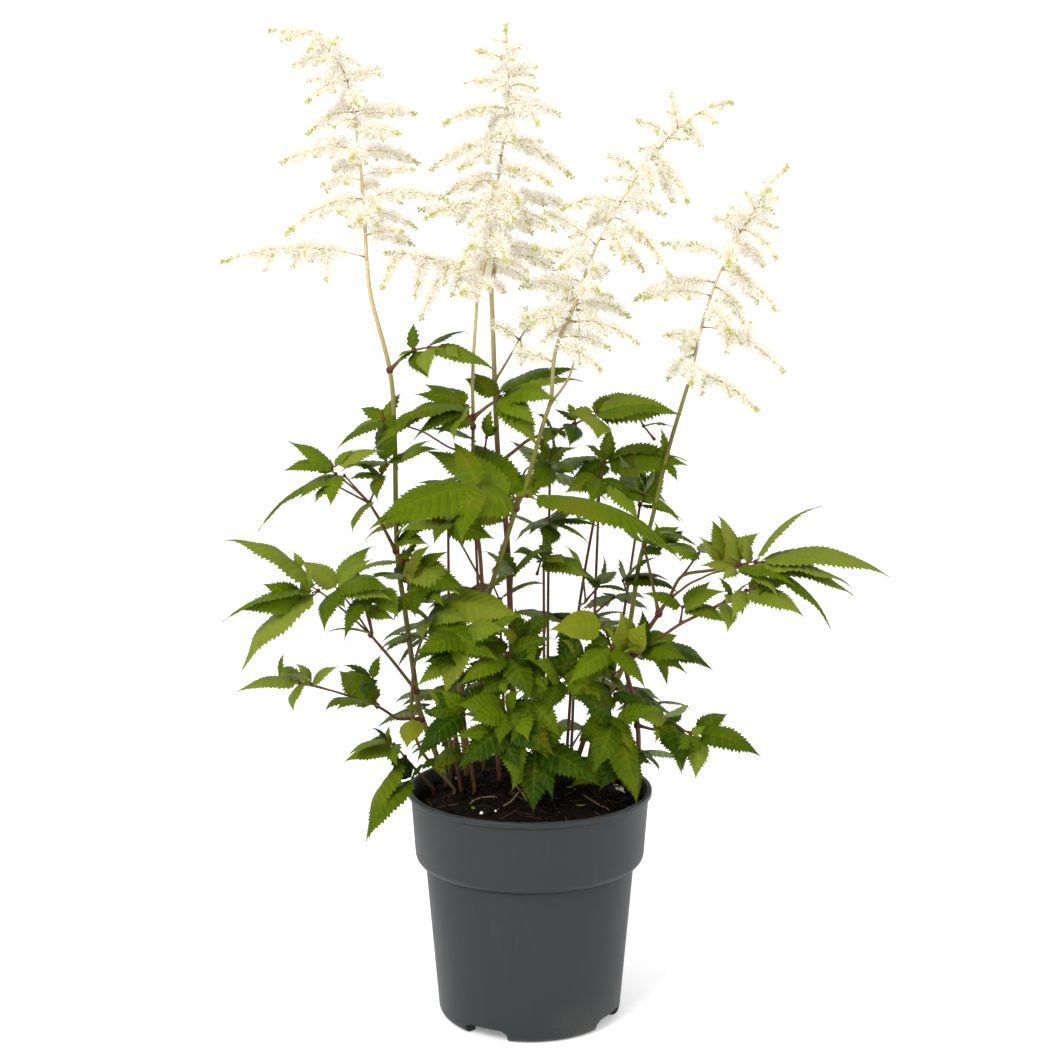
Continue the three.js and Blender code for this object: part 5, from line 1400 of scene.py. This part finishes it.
# The lesser leaflets that fill the bush: the leaf or stem they belong to, how far they turn their
# faces to the front, the path of their stalk up to a knot, their tips and how aged they are.
MORE_LEAFLETS = [
    # Lesser leaflets on the left flower stem's leaves, from the top down.
    ("stem_left", 0.5, [[-76, -16, 466]], [[-87, -28, 462]]),
    ("stem_left", 0.5, [[-66, -20, 468], [-56, -24, 469]], [[-46, -38, 462]]),
    ("stem_left", 0.3, [[-90, -5, 385], [-90, -8, 390]],
        [[-66, -14, 406], [-61, -24, 402], [-106, -16, 397]]),
    ("stem_left", 0.4, [[-129, -38, 391]], [[-161, -52, 390], [-116, -30, 402], [-97, -26, 401]]),
    ("stem_left", 0.6, [[-107, -26, 365], [-123, -30, 384]], [[-150, -60, 373]]),
    ("stem_left", 0.6, [[-107, -26, 365], [-126, -36, 377], [-132, -40, 379]],
        [[-140, -58, 370], [-139, -48, 384]]),
    ("stem_left", 0.4, [[-100, -18, 383]],
        [[-120, -34, 383], [-101, -42, 370], [-96, -12, 394], [-119, -30, 394]]),
    ("stem_left", 0.8, [[-150, -44, 304]], [[-192, -60, 300], [-142, -52, 329], [-176, -50, 315]]),
    ("stem_left", 0.5, [[-151, -44, 324]], [[-156, -46, 336]]),
    ("stem_left", 0.5, [[-129, -34, 308]],
        [[-105, -30, 328], [-121, -58, 300], [-135, -66, 287], [-91, -74, 317]]),
    ("stem_left", 0.6, [[-106, -30, 277], [-108, -32, 294], [-101, -34, 308]],
        [[-122, -70, 283], [-86, -60, 294], [-119, -30, 314]]),
    ("stem_left", 0.7, [[-106, -30, 277], [-110, -36, 295]], [[-89, -52, 291], [-117, -56, 296]]),
    ("stem_left", 0.5, [[-90, -8, 314], [-85, -14, 310]],
        [[-42, -50, 312], [-54, -30, 333], [-105, -52, 320], [-85, -10, 333], [-67, -40, 339]]),
    ("stem_left", 0.7, [[-85, -14, 310], [-75, -20, 306]],
        [[-90, -56, 293], [-76, -62, 296], [-57, -50, 300]]),
    ("stem_left", 0.8, [[-90, -8, 348]], [[-78, -22, 362]]),
    ("stem_left", 0.5, [[-90, -9, 337]], [[-65, -30, 352], [-82, -26, 351], [-68, -34, 339]]),
    ("stem_left", 0.3, [[-105, -18, 225], [-147, -34, 243]],
        [[-156, -40, 259], [-164, -52, 254], [-128, -44, 258]]),
    ("stem_left", 0.4, [[-167, -44, 252]], [[-164, -44, 267]]),
    ("stem_left", 0.6, [[-105, -18, 225], [-107, -20, 243]],
        [[-125, -44, 250], [-125, -30, 256], [-109, -46, 236], [-102, -14, 259]]),
    ("stem_left", 0.7, [[-105, -18, 225], [-121, -26, 232]], [[-137, -46, 228], [-116, -34, 239]]),
    ("stem_left", 0.5, [[-78, -5, 232], [-82, -14, 270]], [[-98, -30, 264]]),
    # A leaf that passes behind the left flower stem, and more at the top of the bush.
    ("stem_centre", 0.4, [[-22, 14, 388], [-54, 8, 398], [-73, 2, 410], [-98, -6, 419]],
        [[-87, 6, 436], [-128, -30, 402], [-119, -18, 412], [-115, 4, 426]]),
    ("stem_front", 0.5, [[-42, -24, 430]],
        [[-75, -34, 439], [-75, -64, 413], [-95, -72, 419], [-61, 0, 440]]),
    ("stem_front", 0.3, [[-21, -11, 435]],
        [[-45, 12, 445], [-10, -30, 449], [4, -44, 419], [-2, -34, 410], [33, 26, 452]]),
    ("stem_front", 0.5, [[-38, -14, 419], [-40, -18, 422]], [[-61, -40, 414]]),
    ("stem_front", 0.2, [[-36, -14, 405]], [[-67, -34, 416]]),
    ("stem_front", 0.4, [[-31, -8, 394], [-29, -16, 408]], [[-26, -22, 427], [-20, -10, 416]]),
    ("stem_front", 0.4, [[-33, -8, 309], [-46, -12, 334], [-56, -16, 351]],
        [[-86, -38, 348], [-72, -24, 365], [-40, -30, 366], [-24, -40, 344], [-64, -44, 342],
        [-76, -40, 361]]),
    ("stem_front", 0.3, [[-34, -12, 334], [-39, -10, 352]],
        [[-15, -20, 351], [-45, -34, 337], [-26, 0, 356]]),
    ("stem_crossing", 0.5, [[-10, -40, 370]],
        [[-64, -84, 367], [-18, 0, 391], [-41, 6, 403], [-70, -14, 399], [7, -4, 384]]),
    ("stem_crossing", 0.5, [[-13, -22, 353], [-3, 6, 383], [13, 0, 389]],
        [[7, 12, 407], [25, 16, 398], [32, -8, 401], [-4, -6, 397], [2, -34, 374], [30, -30, 385]]),
    ("stem_centre", 0.6, [[15, 6, 412]], [[24, -16, 407], [5, -10, 423], [10, -20, 403]]),
    ("stem_centre", 0.5, [[31, 0, 417]], [[16, 4, 425], [26, 10, 429]]),
    ("stem_centre", 1.0, [[43, -4, 424]], [[100, -22, 425], [26, -8, 422], [60, 10, 433]]),
    # Behind the big front leaf, to its right.
    ("leaf_back_right", 1.0, [[52, 36, 385]], [[108, 14, 387], [56, 36, 407], [39, 20, 399], [29, 6, 378]]),
    ("leaf_back_right", 0.7, [[52, 36, 385], [48, 10, 377]],
        [[74, -10, 350], [24, -10, 370], [40, -20, 363], [70, -2, 364]]),
    ("leaf_far_right", 0.6, [[79, 30, 359], [78, 24, 364]],
        [[75, 24, 386], [104, 8, 346], [86, 10, 383], [59, 6, 361]]),
    ("leaf_far_right", 0.6, [[92, 20, 388]], [[101, 8, 375], [90, 16, 411], [80, 30, 396]]),
    ("leaf_far_right", 0.5, [[86, 22, 402], [78, 18, 412]], [[97, 6, 413], [70, 14, 422]]),
    ("leaf_far_right", 0.6, [[79, 28, 338], [90, 16, 327]],
        [[110, -14, 333], [105, -6, 344], [75, -8, 326], [86, 14, 347]]),
    ("leaf_back", 0.3, [[13, 30, 342]],
        [[48, 0, 345], [40, -6, 334], [-1, 8, 339], [11, -2, 330], [31, 14, 356]]),
    ("leaf_back", 0.8, [[5, 26, 307], [8, 18, 319]],
        [[24, -14, 323], [-11, -12, 330], [41, -8, 312], [14, 0, 336]]),
    ("stem_centre", 0.7, [[-13, 10, 292], [-12, 6, 310]],
        [[11, -18, 332], [-32, -14, 331], [-20, 10, 332], [-25, -22, 321]]),
    ("leaf_back_right", 0.5, [[35, 47, 280], [39, 30, 287], [37, 16, 309]],
        [[8, 0, 325], [25, 6, 331], [42, -6, 309]]),
    ("leaf_back_right", 0.6, [[39, 30, 287], [48, 24, 299]],
        [[70, 8, 297], [51, 16, 322], [30, 4, 316], [60, 0, 314]]),
    ("leaf_far_right", 0.5, [[68, 38, 294], [65, 24, 303]],
        [[102, -6, 301], [61, 10, 322], [87, 8, 322], [94, -8, 311]]),
    # The big right-hand leaf and what hangs below it.
    ("stem_leafy", 0.12, [[127, -44, 326], [143, -50, 327]],
        [[209, -74, 317], [211, -62, 310], [143, -34, 347]]),
    ("stem_leafy", 0.5, [[127, -44, 326]],
        [[122, -24, 354], [113, -30, 344], [115, -52, 342], [153, -30, 346]]),
    ("stem_leafy", 0.5, [[102, -32, 317], [113, -26, 331]],
        [[89, -20, 334], [123, -40, 342], [99, -44, 330]]),
    ("stem_leafy", 0.3, [[95, -34, 303], [106, -40, 313], [120, -46, 321], [135, -52, 326]],
        [[171, -76, 320], [124, -70, 321], [111, -60, 329]]),
    ("stem_leafy", 0.2, [[101, -30, 284], [116, -40, 294], [134, -50, 306]],
        [[139, -66, 297], [124, -52, 320], [145, -56, 317], [127, -70, 305]]),
    ("stem_leafy", 0.2, [[134, -50, 306], [150, -56, 315]],
        [[166, -72, 309], [153, -52, 326], [148, -70, 312], [160, -62, 320]]),
    ("stem_leafy", 0.6, [[101, -30, 284], [102, -34, 296]],
        [[131, -58, 289], [75, -40, 307], [120, -40, 315], [128, -52, 311]]),
    ("stem_leafy", 0.6, [[68, -16, 254], [78, -20, 265]],
        [[105, -44, 263], [91, -30, 273], [60, -34, 279]]),
    ("stem_leafy", 0.6, [[68, -16, 254], [56, -22, 246]],
        [[28, -34, 265], [48, -20, 270], [39, -44, 254], [62, -40, 241]]),
    # The middle of the bush.
    ("leaf_pale", 0.5, [[-69, -24, 287]],
        [[-42, -50, 290], [-50, -30, 298], [-20, -66, 268], [-87, -44, 299], [-71, -54, 278]]),
    ("leaf_mid_left", 0.5, [[-47, -46, 265]],
        [[-75, -60, 249], [-69, -70, 267], [-31, -40, 269], [-62, -30, 273], [-35, -20, 286]]),
    ("leaf_mid_left", 0.8, [[-47, -46, 265], [-40, -42, 275]],
        [[-5, -50, 296], [-75, -84, 274], [-22, -30, 292], [-22, -66, 281]]),
    ("leaf_pale", 0.7, [[-20, -30, 300], [-7, -34, 273]],
        [[-10, -40, 297], [15, -30, 290], [4, -66, 264], [-20, -46, 284], [12, -40, 271]]),
    ("leaf_middle", 0.6, [[-7, -36, 252]],
        [[10, -44, 272], [-34, -60, 241], [-21, -30, 262], [10, -60, 247], [-3, -62, 273], [20, -40, 256]]),
    ("leaf_middle", 0.6, [[-7, -36, 252], [-20, -34, 254]],
        [[-50, -60, 250], [-42, -40, 259], [-16, -60, 243]]),
    ("leaf_middle", 0.9, [[-15, -50, 228]],
        [[-47, -80, 242], [-39, -84, 231], [11, -40, 232], [-7, -70, 248], [-20, -84, 215]]),
    ("leaf_mid_right", 0.7, [[27, -30, 251]],
        [[47, -60, 228], [20, -34, 286], [10, -44, 265], [45, -20, 236], [50, -34, 258]]),
    ("leaf_mid_right", 0.6, [[27, -30, 251], [37, -26, 261]],
        [[58, -44, 254], [61, -36, 264], [21, -50, 277], [49, -16, 270]]),
    ("leaf_mid_right", 0.9, [[55, -30, 266], [49, -40, 286]], [[13, -48, 284]], 0.25),
    ("stem_leafy", 0.9, [[68, -16, 254], [65, -26, 263]],
        [[61, -36, 293], [50, -40, 284], [77, -38, 286], [72, -42, 270]], 0.3),
    ("leaf_mid_right", 0.9, [[20, -34, 247]],
        [[59, -50, 265], [1, -60, 266], [31, -44, 277], [11, -64, 230]]),
    ("leaf_middle", 0.8, [[1, -50, 236]], [[20, -70, 216], [-13, -76, 213], [13, -50, 253]]),
    ("leaf_mid_right", 0.8, [[55, -30, 236]],
        [[28, -56, 238], [37, -60, 228], [41, -20, 240], [74, -40, 230]]),
    ("leaf_low_left", 0.8, [[-43, -54, 228]],
        [[-72, -84, 210], [-70, -60, 231], [-50, -40, 241], [-59, -66, 247], [-64, -50, 242]]),
    ("leaf_low_left", 0.6, [[-62, -20, 179], [-64, -30, 191]],
        [[-40, -50, 197], [-73, -40, 185], [-56, -46, 183]]),
    ("leaf_front_left", 0.9, [[-19, -60, 218]],
        [[-45, -88, 200], [-6, -86, 199], [-32, -40, 219], [-49, -80, 220]]),
    ("leaf_front_left", 0.8, [[-9, -52, 228]], [[12, -80, 204], [10, -44, 233], [-1, -84, 217]]),
    ("leaf_front", 0.8, [[1, -50, 202]], [[15, -76, 177], [22, -40, 210], [38, -66, 191], [-12, -70, 180]]),
    ("leaf_front_right", 0.8, [[55, -46, 224]],
        [[41, -70, 192], [69, -60, 203], [32, -30, 202], [50, -40, 192], [62, -70, 219]]),
    ("leaf_front_right", 0.8, [[61, -40, 198]],
        [[81, -54, 194], [71, -60, 168], [46, -62, 177], [27, -50, 176]]),
    ("stem_leafy", 0.6, [[92, -44, 222]],
        [[55, -40, 241], [66, -60, 229], [101, -76, 196], [83, -60, 210], [103, -30, 221]]),
    ("stem_leafy", 0.1, [[92, -44, 222]], [[106, -54, 234]], 0.6),
    ("stem_leafy", 0.5, [[92, -44, 222], [107, -52, 213]],
        [[112, -66, 204], [117, -50, 218], [96, -70, 206]]),
    ("leaf_rim_left", 0.3, [[-97, -24, 202]], [[-123, -44, 197], [-96, -20, 211], [-107, -30, 212]]),
    ("leaf_rim_left", 0.4, [[-81, -14, 172]], [[-97, -18, 189], [-111, -52, 140], [-71, -30, 186]]),
    ("leaf_rim_left", 0.6, [[-76, -20, 224]], [[-85, -26, 225]]),
    ("leaf_rim_left", 0.9, [[-76, -20, 224], [-79, -28, 218]], [[-83, -44, 202]], 0.3),
]


def draws(seed):
    """The row of even random numbers by which a leaf grows."""
    state = seed
    while True:
        state = state * 48271 % 2147483647
        yield state / 2147483647


def bush_leaves():
    """The basal leaves that fan out behind, low and high in turn."""
    draw = draws(BUSH_SEED)
    found = []
    for number in range(BUSH_LEAVES):
        high = number % 2
        heading = math.pi * (0.1 + 0.82 * number / (BUSH_LEAVES - 1)) + (next(draw) - 0.5) * 0.2
        start = 52 + 12 * next(draw)
        reach = (54 if high else 70) + 14 * next(draw)
        height = (330 if high else 240) + 40 * next(draw)

        def out(distance, z, turn=0.0):
            return [distance * math.cos(heading + turn), distance * math.sin(heading + turn), z]

        found.append({
            "on": f"leaf_bush_{number + 1}", "root": out(start, 0)[:2],
            "path": [out(start + (reach - start) * 0.35, height * 0.72), out(reach, height)],
            "sprays": [[out(reach + 16, height + 7), out(reach + 62, height - 10)]],
            "single": [out(reach + 26, height + 8, 0.4), out(reach + 26, height + 8, -0.4)],
        })
    return found


def hanging_spray(line, share, draw):
    """A knot beside a leaf stalk at the back, and its four leaflets that hang outwards."""
    start = point_along(line, share)
    out = unit(np.array((start[0], start[1], 0)))
    side = np.cross(UP, out)
    hub = start + out * (14 + 8 * next(draw)) + np.array((0, 0, 10))
    tips = []
    for way, length in HANGING_LEAFLETS:
        turn = way + 0.5 * (next(draw) - 0.5)
        run = out * math.cos(turn) + side * math.sin(turn) + np.array((0, 0, -0.45 + 0.4 * next(draw)))
        tips.append(hub + run * length * (0.85 + 0.3 * next(draw)))
    return [start, hub], tips


def face_of(root, tip, draw, front=None):
    """The side that a leaflet turns up: to the sky, outwards and, low in the bush, to the front."""
    run = unit(tip - root)
    out = unit(np.array((root[0], root[1], 0)))
    if front is None:
        front = 0.45 if root[1] < 60 and root[2] < UPPER_LEAVES else 0.1
    shift = np.array([next(draw) - 0.5, next(draw) - 0.5, next(draw) - 0.5])
    face = np.array((0, -front, 0.75)) + 0.4 * out + 0.35 * shift
    return unit(face - run * (face @ run))


def spread_of(hub, tips, draw, is_ternate):
    """The tips of a hub's leaflets and their faces. A lone tip gets a smaller one on each side."""
    ends = [(tip, face_of(hub, tip, draw)) for tip in map(np.array, tips)]
    if is_ternate:
        tip, face = ends[0]
        for sign in (-1, 1):
            run = turned(tip - hub, face, sign * SIDE_LEAFLET_ANGLE)
            side = hub + run * SIDE_LEAFLET_SIZE * (0.9 + 0.2 * next(draw))
            ends.append((side, face_of(hub, side, draw)))
    return ends


def outline(u):
    """The blade's half width at a share of its length."""
    shut = np.clip((u - BLADE_START) / 0.07, 0, 1)
    drawn_out = 1 - 0.3 * np.clip((u - 0.68) / 0.24, 0, 1)
    body = 3.5 * u ** 0.68 * np.clip(1 - u, 0, 1) ** 1.28
    return body * drawn_out * shut * shut * (3 - 2 * shut)


def blade_rows(length):
    """The rows across a blade, along its side veins: place on the rib, tooth, pleat and vein."""
    veins = 5 + min(12, int(length / 8.5))
    kinds = TOOTH_ROWS if length > TOOTHED_FROM_LENGTH else PLAIN_ROWS
    rows = [((vein + shift) / veins, tooth, pleat, shift == 0)
            for vein in range(veins) for shift, tooth, pleat in kinds]
    return np.array([*rows, (1, 0, 0, 0)], float).T, veins


def blade_faces(rows, columns):
    """The faces of a closed blade: both sides, which share the edge, and its two ends. Then which
    side each face is on, 0 for the upper one."""
    over = np.arange(rows * columns).reshape(rows, columns)
    under = over + rows * columns
    under[:, [0, -1]] = over[:, [0, -1]]
    faces, sides = [], []
    for grid, side, order in ((over, 0, 1), (under, 1, -1)):
        a, b, c, d = grid[:-1, :-1], grid[:-1, 1:], grid[1:, 1:], grid[1:, :-1]
        quads = np.stack([np.stack([a, c, b], -1), np.stack([a, d, c], -1)], -2)
        faces.append(quads.reshape(-1, 3)[:, ::order])
        sides.append(np.full(len(faces[-1]), side))
    for row, order in ((0, 1), (-1, -1)):
        a, b = over[row, :-1], over[row, 1:]
        c, d = under[row, 1:], under[row, :-1]
        caps = np.concatenate([np.stack([a, b, c], -1), np.stack([a, c, d], -1)])[:, ::order]
        caps = caps[(caps[:, 0] != caps[:, 1]) & (caps[:, 1] != caps[:, 2]) & (caps[:, 0] != caps[:, 2])]
        faces.append(caps)
        sides.append(np.full(len(caps), 1))
    return np.concatenate(faces), np.concatenate(sides)


def add_leaflet(growth, root, tip, face, chance, age=0.0, darker=0.0):
    """One leaflet: a thin closed blade whose rows run along its side veins."""
    run = tip - root
    length = np.linalg.norm(run)
    run = run / length
    across = unit(np.cross(face, run))
    top = np.cross(run, across)
    share_wide = max(SLIMMEST_BLADE, BLADE_WIDTH - LONG_BLADE_SLIMMING * length)
    low_widening = 1 + LOW_WIDENING * min(1, max(0, (LOW_LEAVES - tip[2]) / 60))
    half = length * share_wide / 2 * chance.uniform(0.88, 1.16) * low_widening * (1 + AGED_WIDENING * age)
    (share, tooth, pleat, vein), veins = blade_rows(length)
    share, tooth, pleat, vein = (row[:, None] for row in (share, tooth, pleat, vein))
    places = COLUMNS if length > FINE_FROM_LENGTH else SMALL_COLUMNS
    column = np.array([-place for place in places[:0:-1]] + list(places))[None]
    away = np.abs(column)

    rib = BLADE_START + (1 - BLADE_START) * share * (1.22 - 0.22 * share)
    edge = rib + VEIN_SLANT * 4 * share * (1 - share)
    u = rib + (edge - rib) * away ** 1.15
    width = outline(edge) * half
    depth = np.minimum(length / veins * TOOTH_DEPTH, width * 0.26) * max(0, 1 - 2.2 * age)
    reach = np.maximum(width * away + tooth * depth * away ** 7, 0.16 * away + 0.02)
    u = u + np.maximum(tooth, 0) * away ** 7 * 0.12 / veins
    sideways = np.sign(column) * reach

    sag = BLADE_SAG * chance.uniform(0.5, 1.7)
    droop = length * chance.uniform(0.0, BLADE_DROOP)
    sweep = length * chance.uniform(-BLADE_SWEEP, BLADE_SWEEP)
    ripple = length * chance.uniform(*BLADE_RIPPLE)
    wave = np.sin(FULL_TURN * (u * chance.uniform(1.6, 2.8) + chance.random()))
    relief = length * VEIN_RELIEF * pleat * np.sin(np.pi * np.minimum(1, away * 0.9 + 0.06)) * (width > 1)
    lift = (
        BLADE_ARCH * length * 4 * u * (1 - u) - sag * reach - droop * u ** 3
        + relief + ripple * wave * away ** 2)
    twist = chance.uniform(-BLADE_TWIST, BLADE_TWIST) * u
    lift, sideways = lift + sideways * np.sin(twist), sideways * np.cos(twist)
    middle = sweep * 4 * u * (1 - u)
    surface = (
        root + run * (u * length)[..., None] + across * (sideways + middle)[..., None]
        + top * lift[..., None])
    on_rib = away == 0
    thick = np.where(away == 1, 0, BLADE_THICKNESS + RIB_THICKENING * length * on_rib) * np.ones_like(u)
    upper = surface + top * (thick * 0.4)[..., None]
    lower = surface - top * (thick + RIB_KEEL * on_rib * (1 - u))[..., None]

    tints = np.zeros((2, *u.shape, 3))
    tints[..., 0] = np.clip(vein * (away < 0.98) + on_rib, 0, 1) * np.ones_like(u)
    # Painted light and shade: leaflets high up or far out from the middle are lighter, those low and inside
    # the bush darker.
    outer = max(min(0.5, (root[2] - 200) / 190), (math.hypot(root[0], root[1]) - 85) / 60)
    tints[..., 1] = max(0, 0.52 * chance.random() + 0.5 * min(1, max(0, outer)) - darker)
    tints[..., 2] = age
    points = np.concatenate([upper.reshape(-1, 3), lower.reshape(-1, 3)])
    faces, sides = blade_faces(*u.shape)
    growth.add(points, faces, tints.reshape(-1, 3), sides)


def make_leaf_material():
    """Green blades with paler sunken veins and a faint shine, and a dull pale underside. Leaflets high up
    and outside the bush are painted lighter, with a painted sheen, and those low and inside it are painted
    darker as shade. Aged leaflets turn yellow, with brown patches."""
    material, tree, shader = new_material("leaf_blade")
    vein, tone, age, under = read_tint(tree)
    grain = add_speckle(tree, 38, 420, 0.22)
    # The tone holds each leaflet's own random tone together with the painted light and shade of its place
    # in the bush.
    shade = add_math(tree, "MULTIPLY_ADD", grain["Mask"], 0.5, add_math(tree, "MULTIPLY", tone, 0.8))
    green = add_ramp(tree, shade, (0.38, LEAF_DEEP_SHADED), (0.69, LEAF_GREEN), (0.95, LEAF_BRIGHT_LIT))
    blush = add_math(tree, "MULTIPLY", add_ramp(tree, grain["Mask"], (0.54, 0.0), (0.66, 1.0)), 0.4)
    blushed = add_mix(tree, blush, green, LEAF_BLUSH)
    on_vein = add_math(tree, "MULTIPLY", add_math(tree, "POWER", vein, 3), 0.13)
    veined = add_mix(tree, on_vein, blushed, LEAF_VEIN)
    uneven = add_math(tree, "MULTIPLY", age, add_ramp(tree, grain["Mask"], (0.25, 0.6), (0.6, 1.0)))
    yellowing = add_math(tree, "MINIMUM", add_math(tree, "MULTIPLY", uneven, 2.2), 1.0)
    yellowed = add_mix(tree, yellowing, veined, LEAF_YELLOW)
    patches = add_math(tree, "MULTIPLY", add_ramp(tree, grain["Mask"], (0.55, 0.0), (0.63, 1.0)),
                       add_ramp(tree, age, (0.3, 0.0), (0.8, 0.9)))
    topside = add_mix(tree, patches, yellowed, LEAF_BROWN)
    pale = add_mix(tree, add_math(tree, "MULTIPLY", vein, 0.35), LEAF_UNDER, UNDER_VEIN)
    sheen = add_ramp(tree, grain["Fine"], (0.3, 0.36), (0.7, 0.5))
    rough = add_mix(tree, under, sheen, UNDER_ROUGHNESS)
    wire_surface(tree, shader, add_mix(tree, under, topside, pale), rough, grain["Normal"], 0.03)
    return material


def stalk_tint(chance):
    """The tint of a leaf stalk, red-brown and greener towards its leaflets."""
    tone, red = chance.random(), chance.uniform(0.55, 1)
    return lambda place: (red, 0, tone)


def add_knot(growth, place, radius, chance):
    """The dark swollen joint where a stalk forks or leaves its stem."""
    points, faces = ball(2)
    stretch = [chance.uniform(0.9, 1.15) for _ in range(2)] + [1.2]
    growth.add(points * radius * stretch + place, faces, (1, 0, chance.random()), 1)


def side_stalk(path):
    """The line of a leaf stalk that springs from a stem: nearly straight from place to place."""
    path = np.array(path, float)
    joints = [path[0]]
    for start, end in zip(path, path[1:]):
        joints += [(start + end) / 2, end]
    return smooth(joints, 4)


def leaf_line(leaf):
    """The line of a leaf's stalk, out of the soil where it has a root there, or else from a stem."""
    return rising(leaf["root"], leaf["path"], 8) if "root" in leaf else side_stalk(leaf["path"])


def add_leaflet_stalk(stalks, hub, tip, radii, tint_at, sides):
    """The short stalk between a knot and the blade of one leaflet."""
    foot = hub + (tip - hub) * (BLADE_START + BLADE_OVERLAP)
    add_limb(stalks, [hub, (hub + foot) / 2, foot], *radii, tint_at, sides)


def grow_leaf(leaf, stalks, blades, draw, chance):
    """A leaf: its stalk up to the knot, a thin link to each spray's hub, and all the leaflets."""
    corners = node_corners(leaf["on"])
    tint_at = stalk_tint(chance)
    line = leaf_line(leaf)
    foot, knot = line[0], line[-1]
    add_limb(
        stalks, line, LEAF_STALK_RADIUS + 0.1, LEAF_STALK_RADIUS - 0.25, tint_at, 8, [(foot, 0.7, 4)])
    add_knot(stalks, knot, LEAF_KNOT, chance)
    if "root" not in leaf:
        add_knot(stalks, foot, STEM_KNOT, chance)
    groups = [(np.array(hub), tips, len(tips) == 1) for hub, *tips in leaf.get("sprays", [])]
    groups.append((knot, leaf.get("single", []), False))
    number = 0
    for hub, tips, is_ternate in groups:
        if hub is not knot:
            length = np.linalg.norm(hub - knot)
            middle = (knot + hub) / 2 + np.array(UP) * 0.05 * length
            link = bow(knot, middle, hub, 7)
            add_limb(stalks, link, SPRAY_STALK_RADIUS, SPRAY_STALK_RADIUS - 0.15, tint_at, 7)
            add_knot(stalks, hub, SPRAY_KNOT, chance)
        for tip, face in spread_of(hub, tips, draw, is_ternate):
            end = grown_tip(corners, hub, tip, face)
            if end is not None:
                if number in leaf.get("front", {}):
                    face = face_of(hub, end, draw, leaf["front"][number])
                add_leaflet_stalk(stalks, hub, end, LEAFLET_STALK, tint_at, 6)
                age, darker = (leaf.get(key, {}).get(number, 0) for key in ("aged", "darker"))
                add_leaflet(blades, hub, end, face, chance, age, darker)
            number += 1


def grow_more(path, tips, front, stalks, blades, draw, chance, age=0.0):
    """Lesser leaflets round a knot, and the thin stalk that carries it."""
    tint_at = stalk_tint(chance)
    path = np.array(path, float)
    hub = path[-1]
    if len(path) > 1:
        add_limb(stalks, side_stalk(path), *LESSER_STALK, tint_at, 6, [(path[0], 0.4, 3)])
        add_knot(stalks, hub, LESSER_KNOT, chance)
    for tip in np.array(tips, float):
        face = face_of(hub, tip, draw, front)
        add_leaflet_stalk(stalks, hub, tip, LESSER_LEAFLET_STALK, tint_at, 5)
        add_leaflet(blades, hub, tip, face, chance, age)


def make_leaves():
    chance = random.Random(LEAF_CHANCE_SEED)
    material = make_leaf_material()
    stalks, blades = {}, {}
    bush = bush_leaves()
    for number, leaf in enumerate([*LEAVES, *bush]):
        node = leaf["on"]
        stalks.setdefault(node, Growth())
        blades.setdefault(node, Growth())
        grow_leaf(leaf, stalks[node], blades[node], draws(LEAF_SEED + number), chance)
    draw = draws(LEAF_SEED - 1)
    for node, front, path, tips, *age in MORE_LEAFLETS:
        grow_more(path, tips, front, stalks[node], blades[node], draw, chance, *age)
    for leaf in bush:
        node = leaf["on"]
        for share in HANGING_SPRAYS:
            spray = hanging_spray(leaf_line(leaf), share, draw)
            grow_more(*spray, HANGING_FRONT, stalks[node], blades[node], draw, chance)
    for node in stalks:
        title = node.replace("stem_", "leaves_on_")
        link_piece(title + "_stalks", stalks[node].mesh(title), STEM_MATERIAL, "stem", node)
        link_piece(title + "_blades", blades[node].mesh(title, 65), material, "leaf", node)


make_leaves()
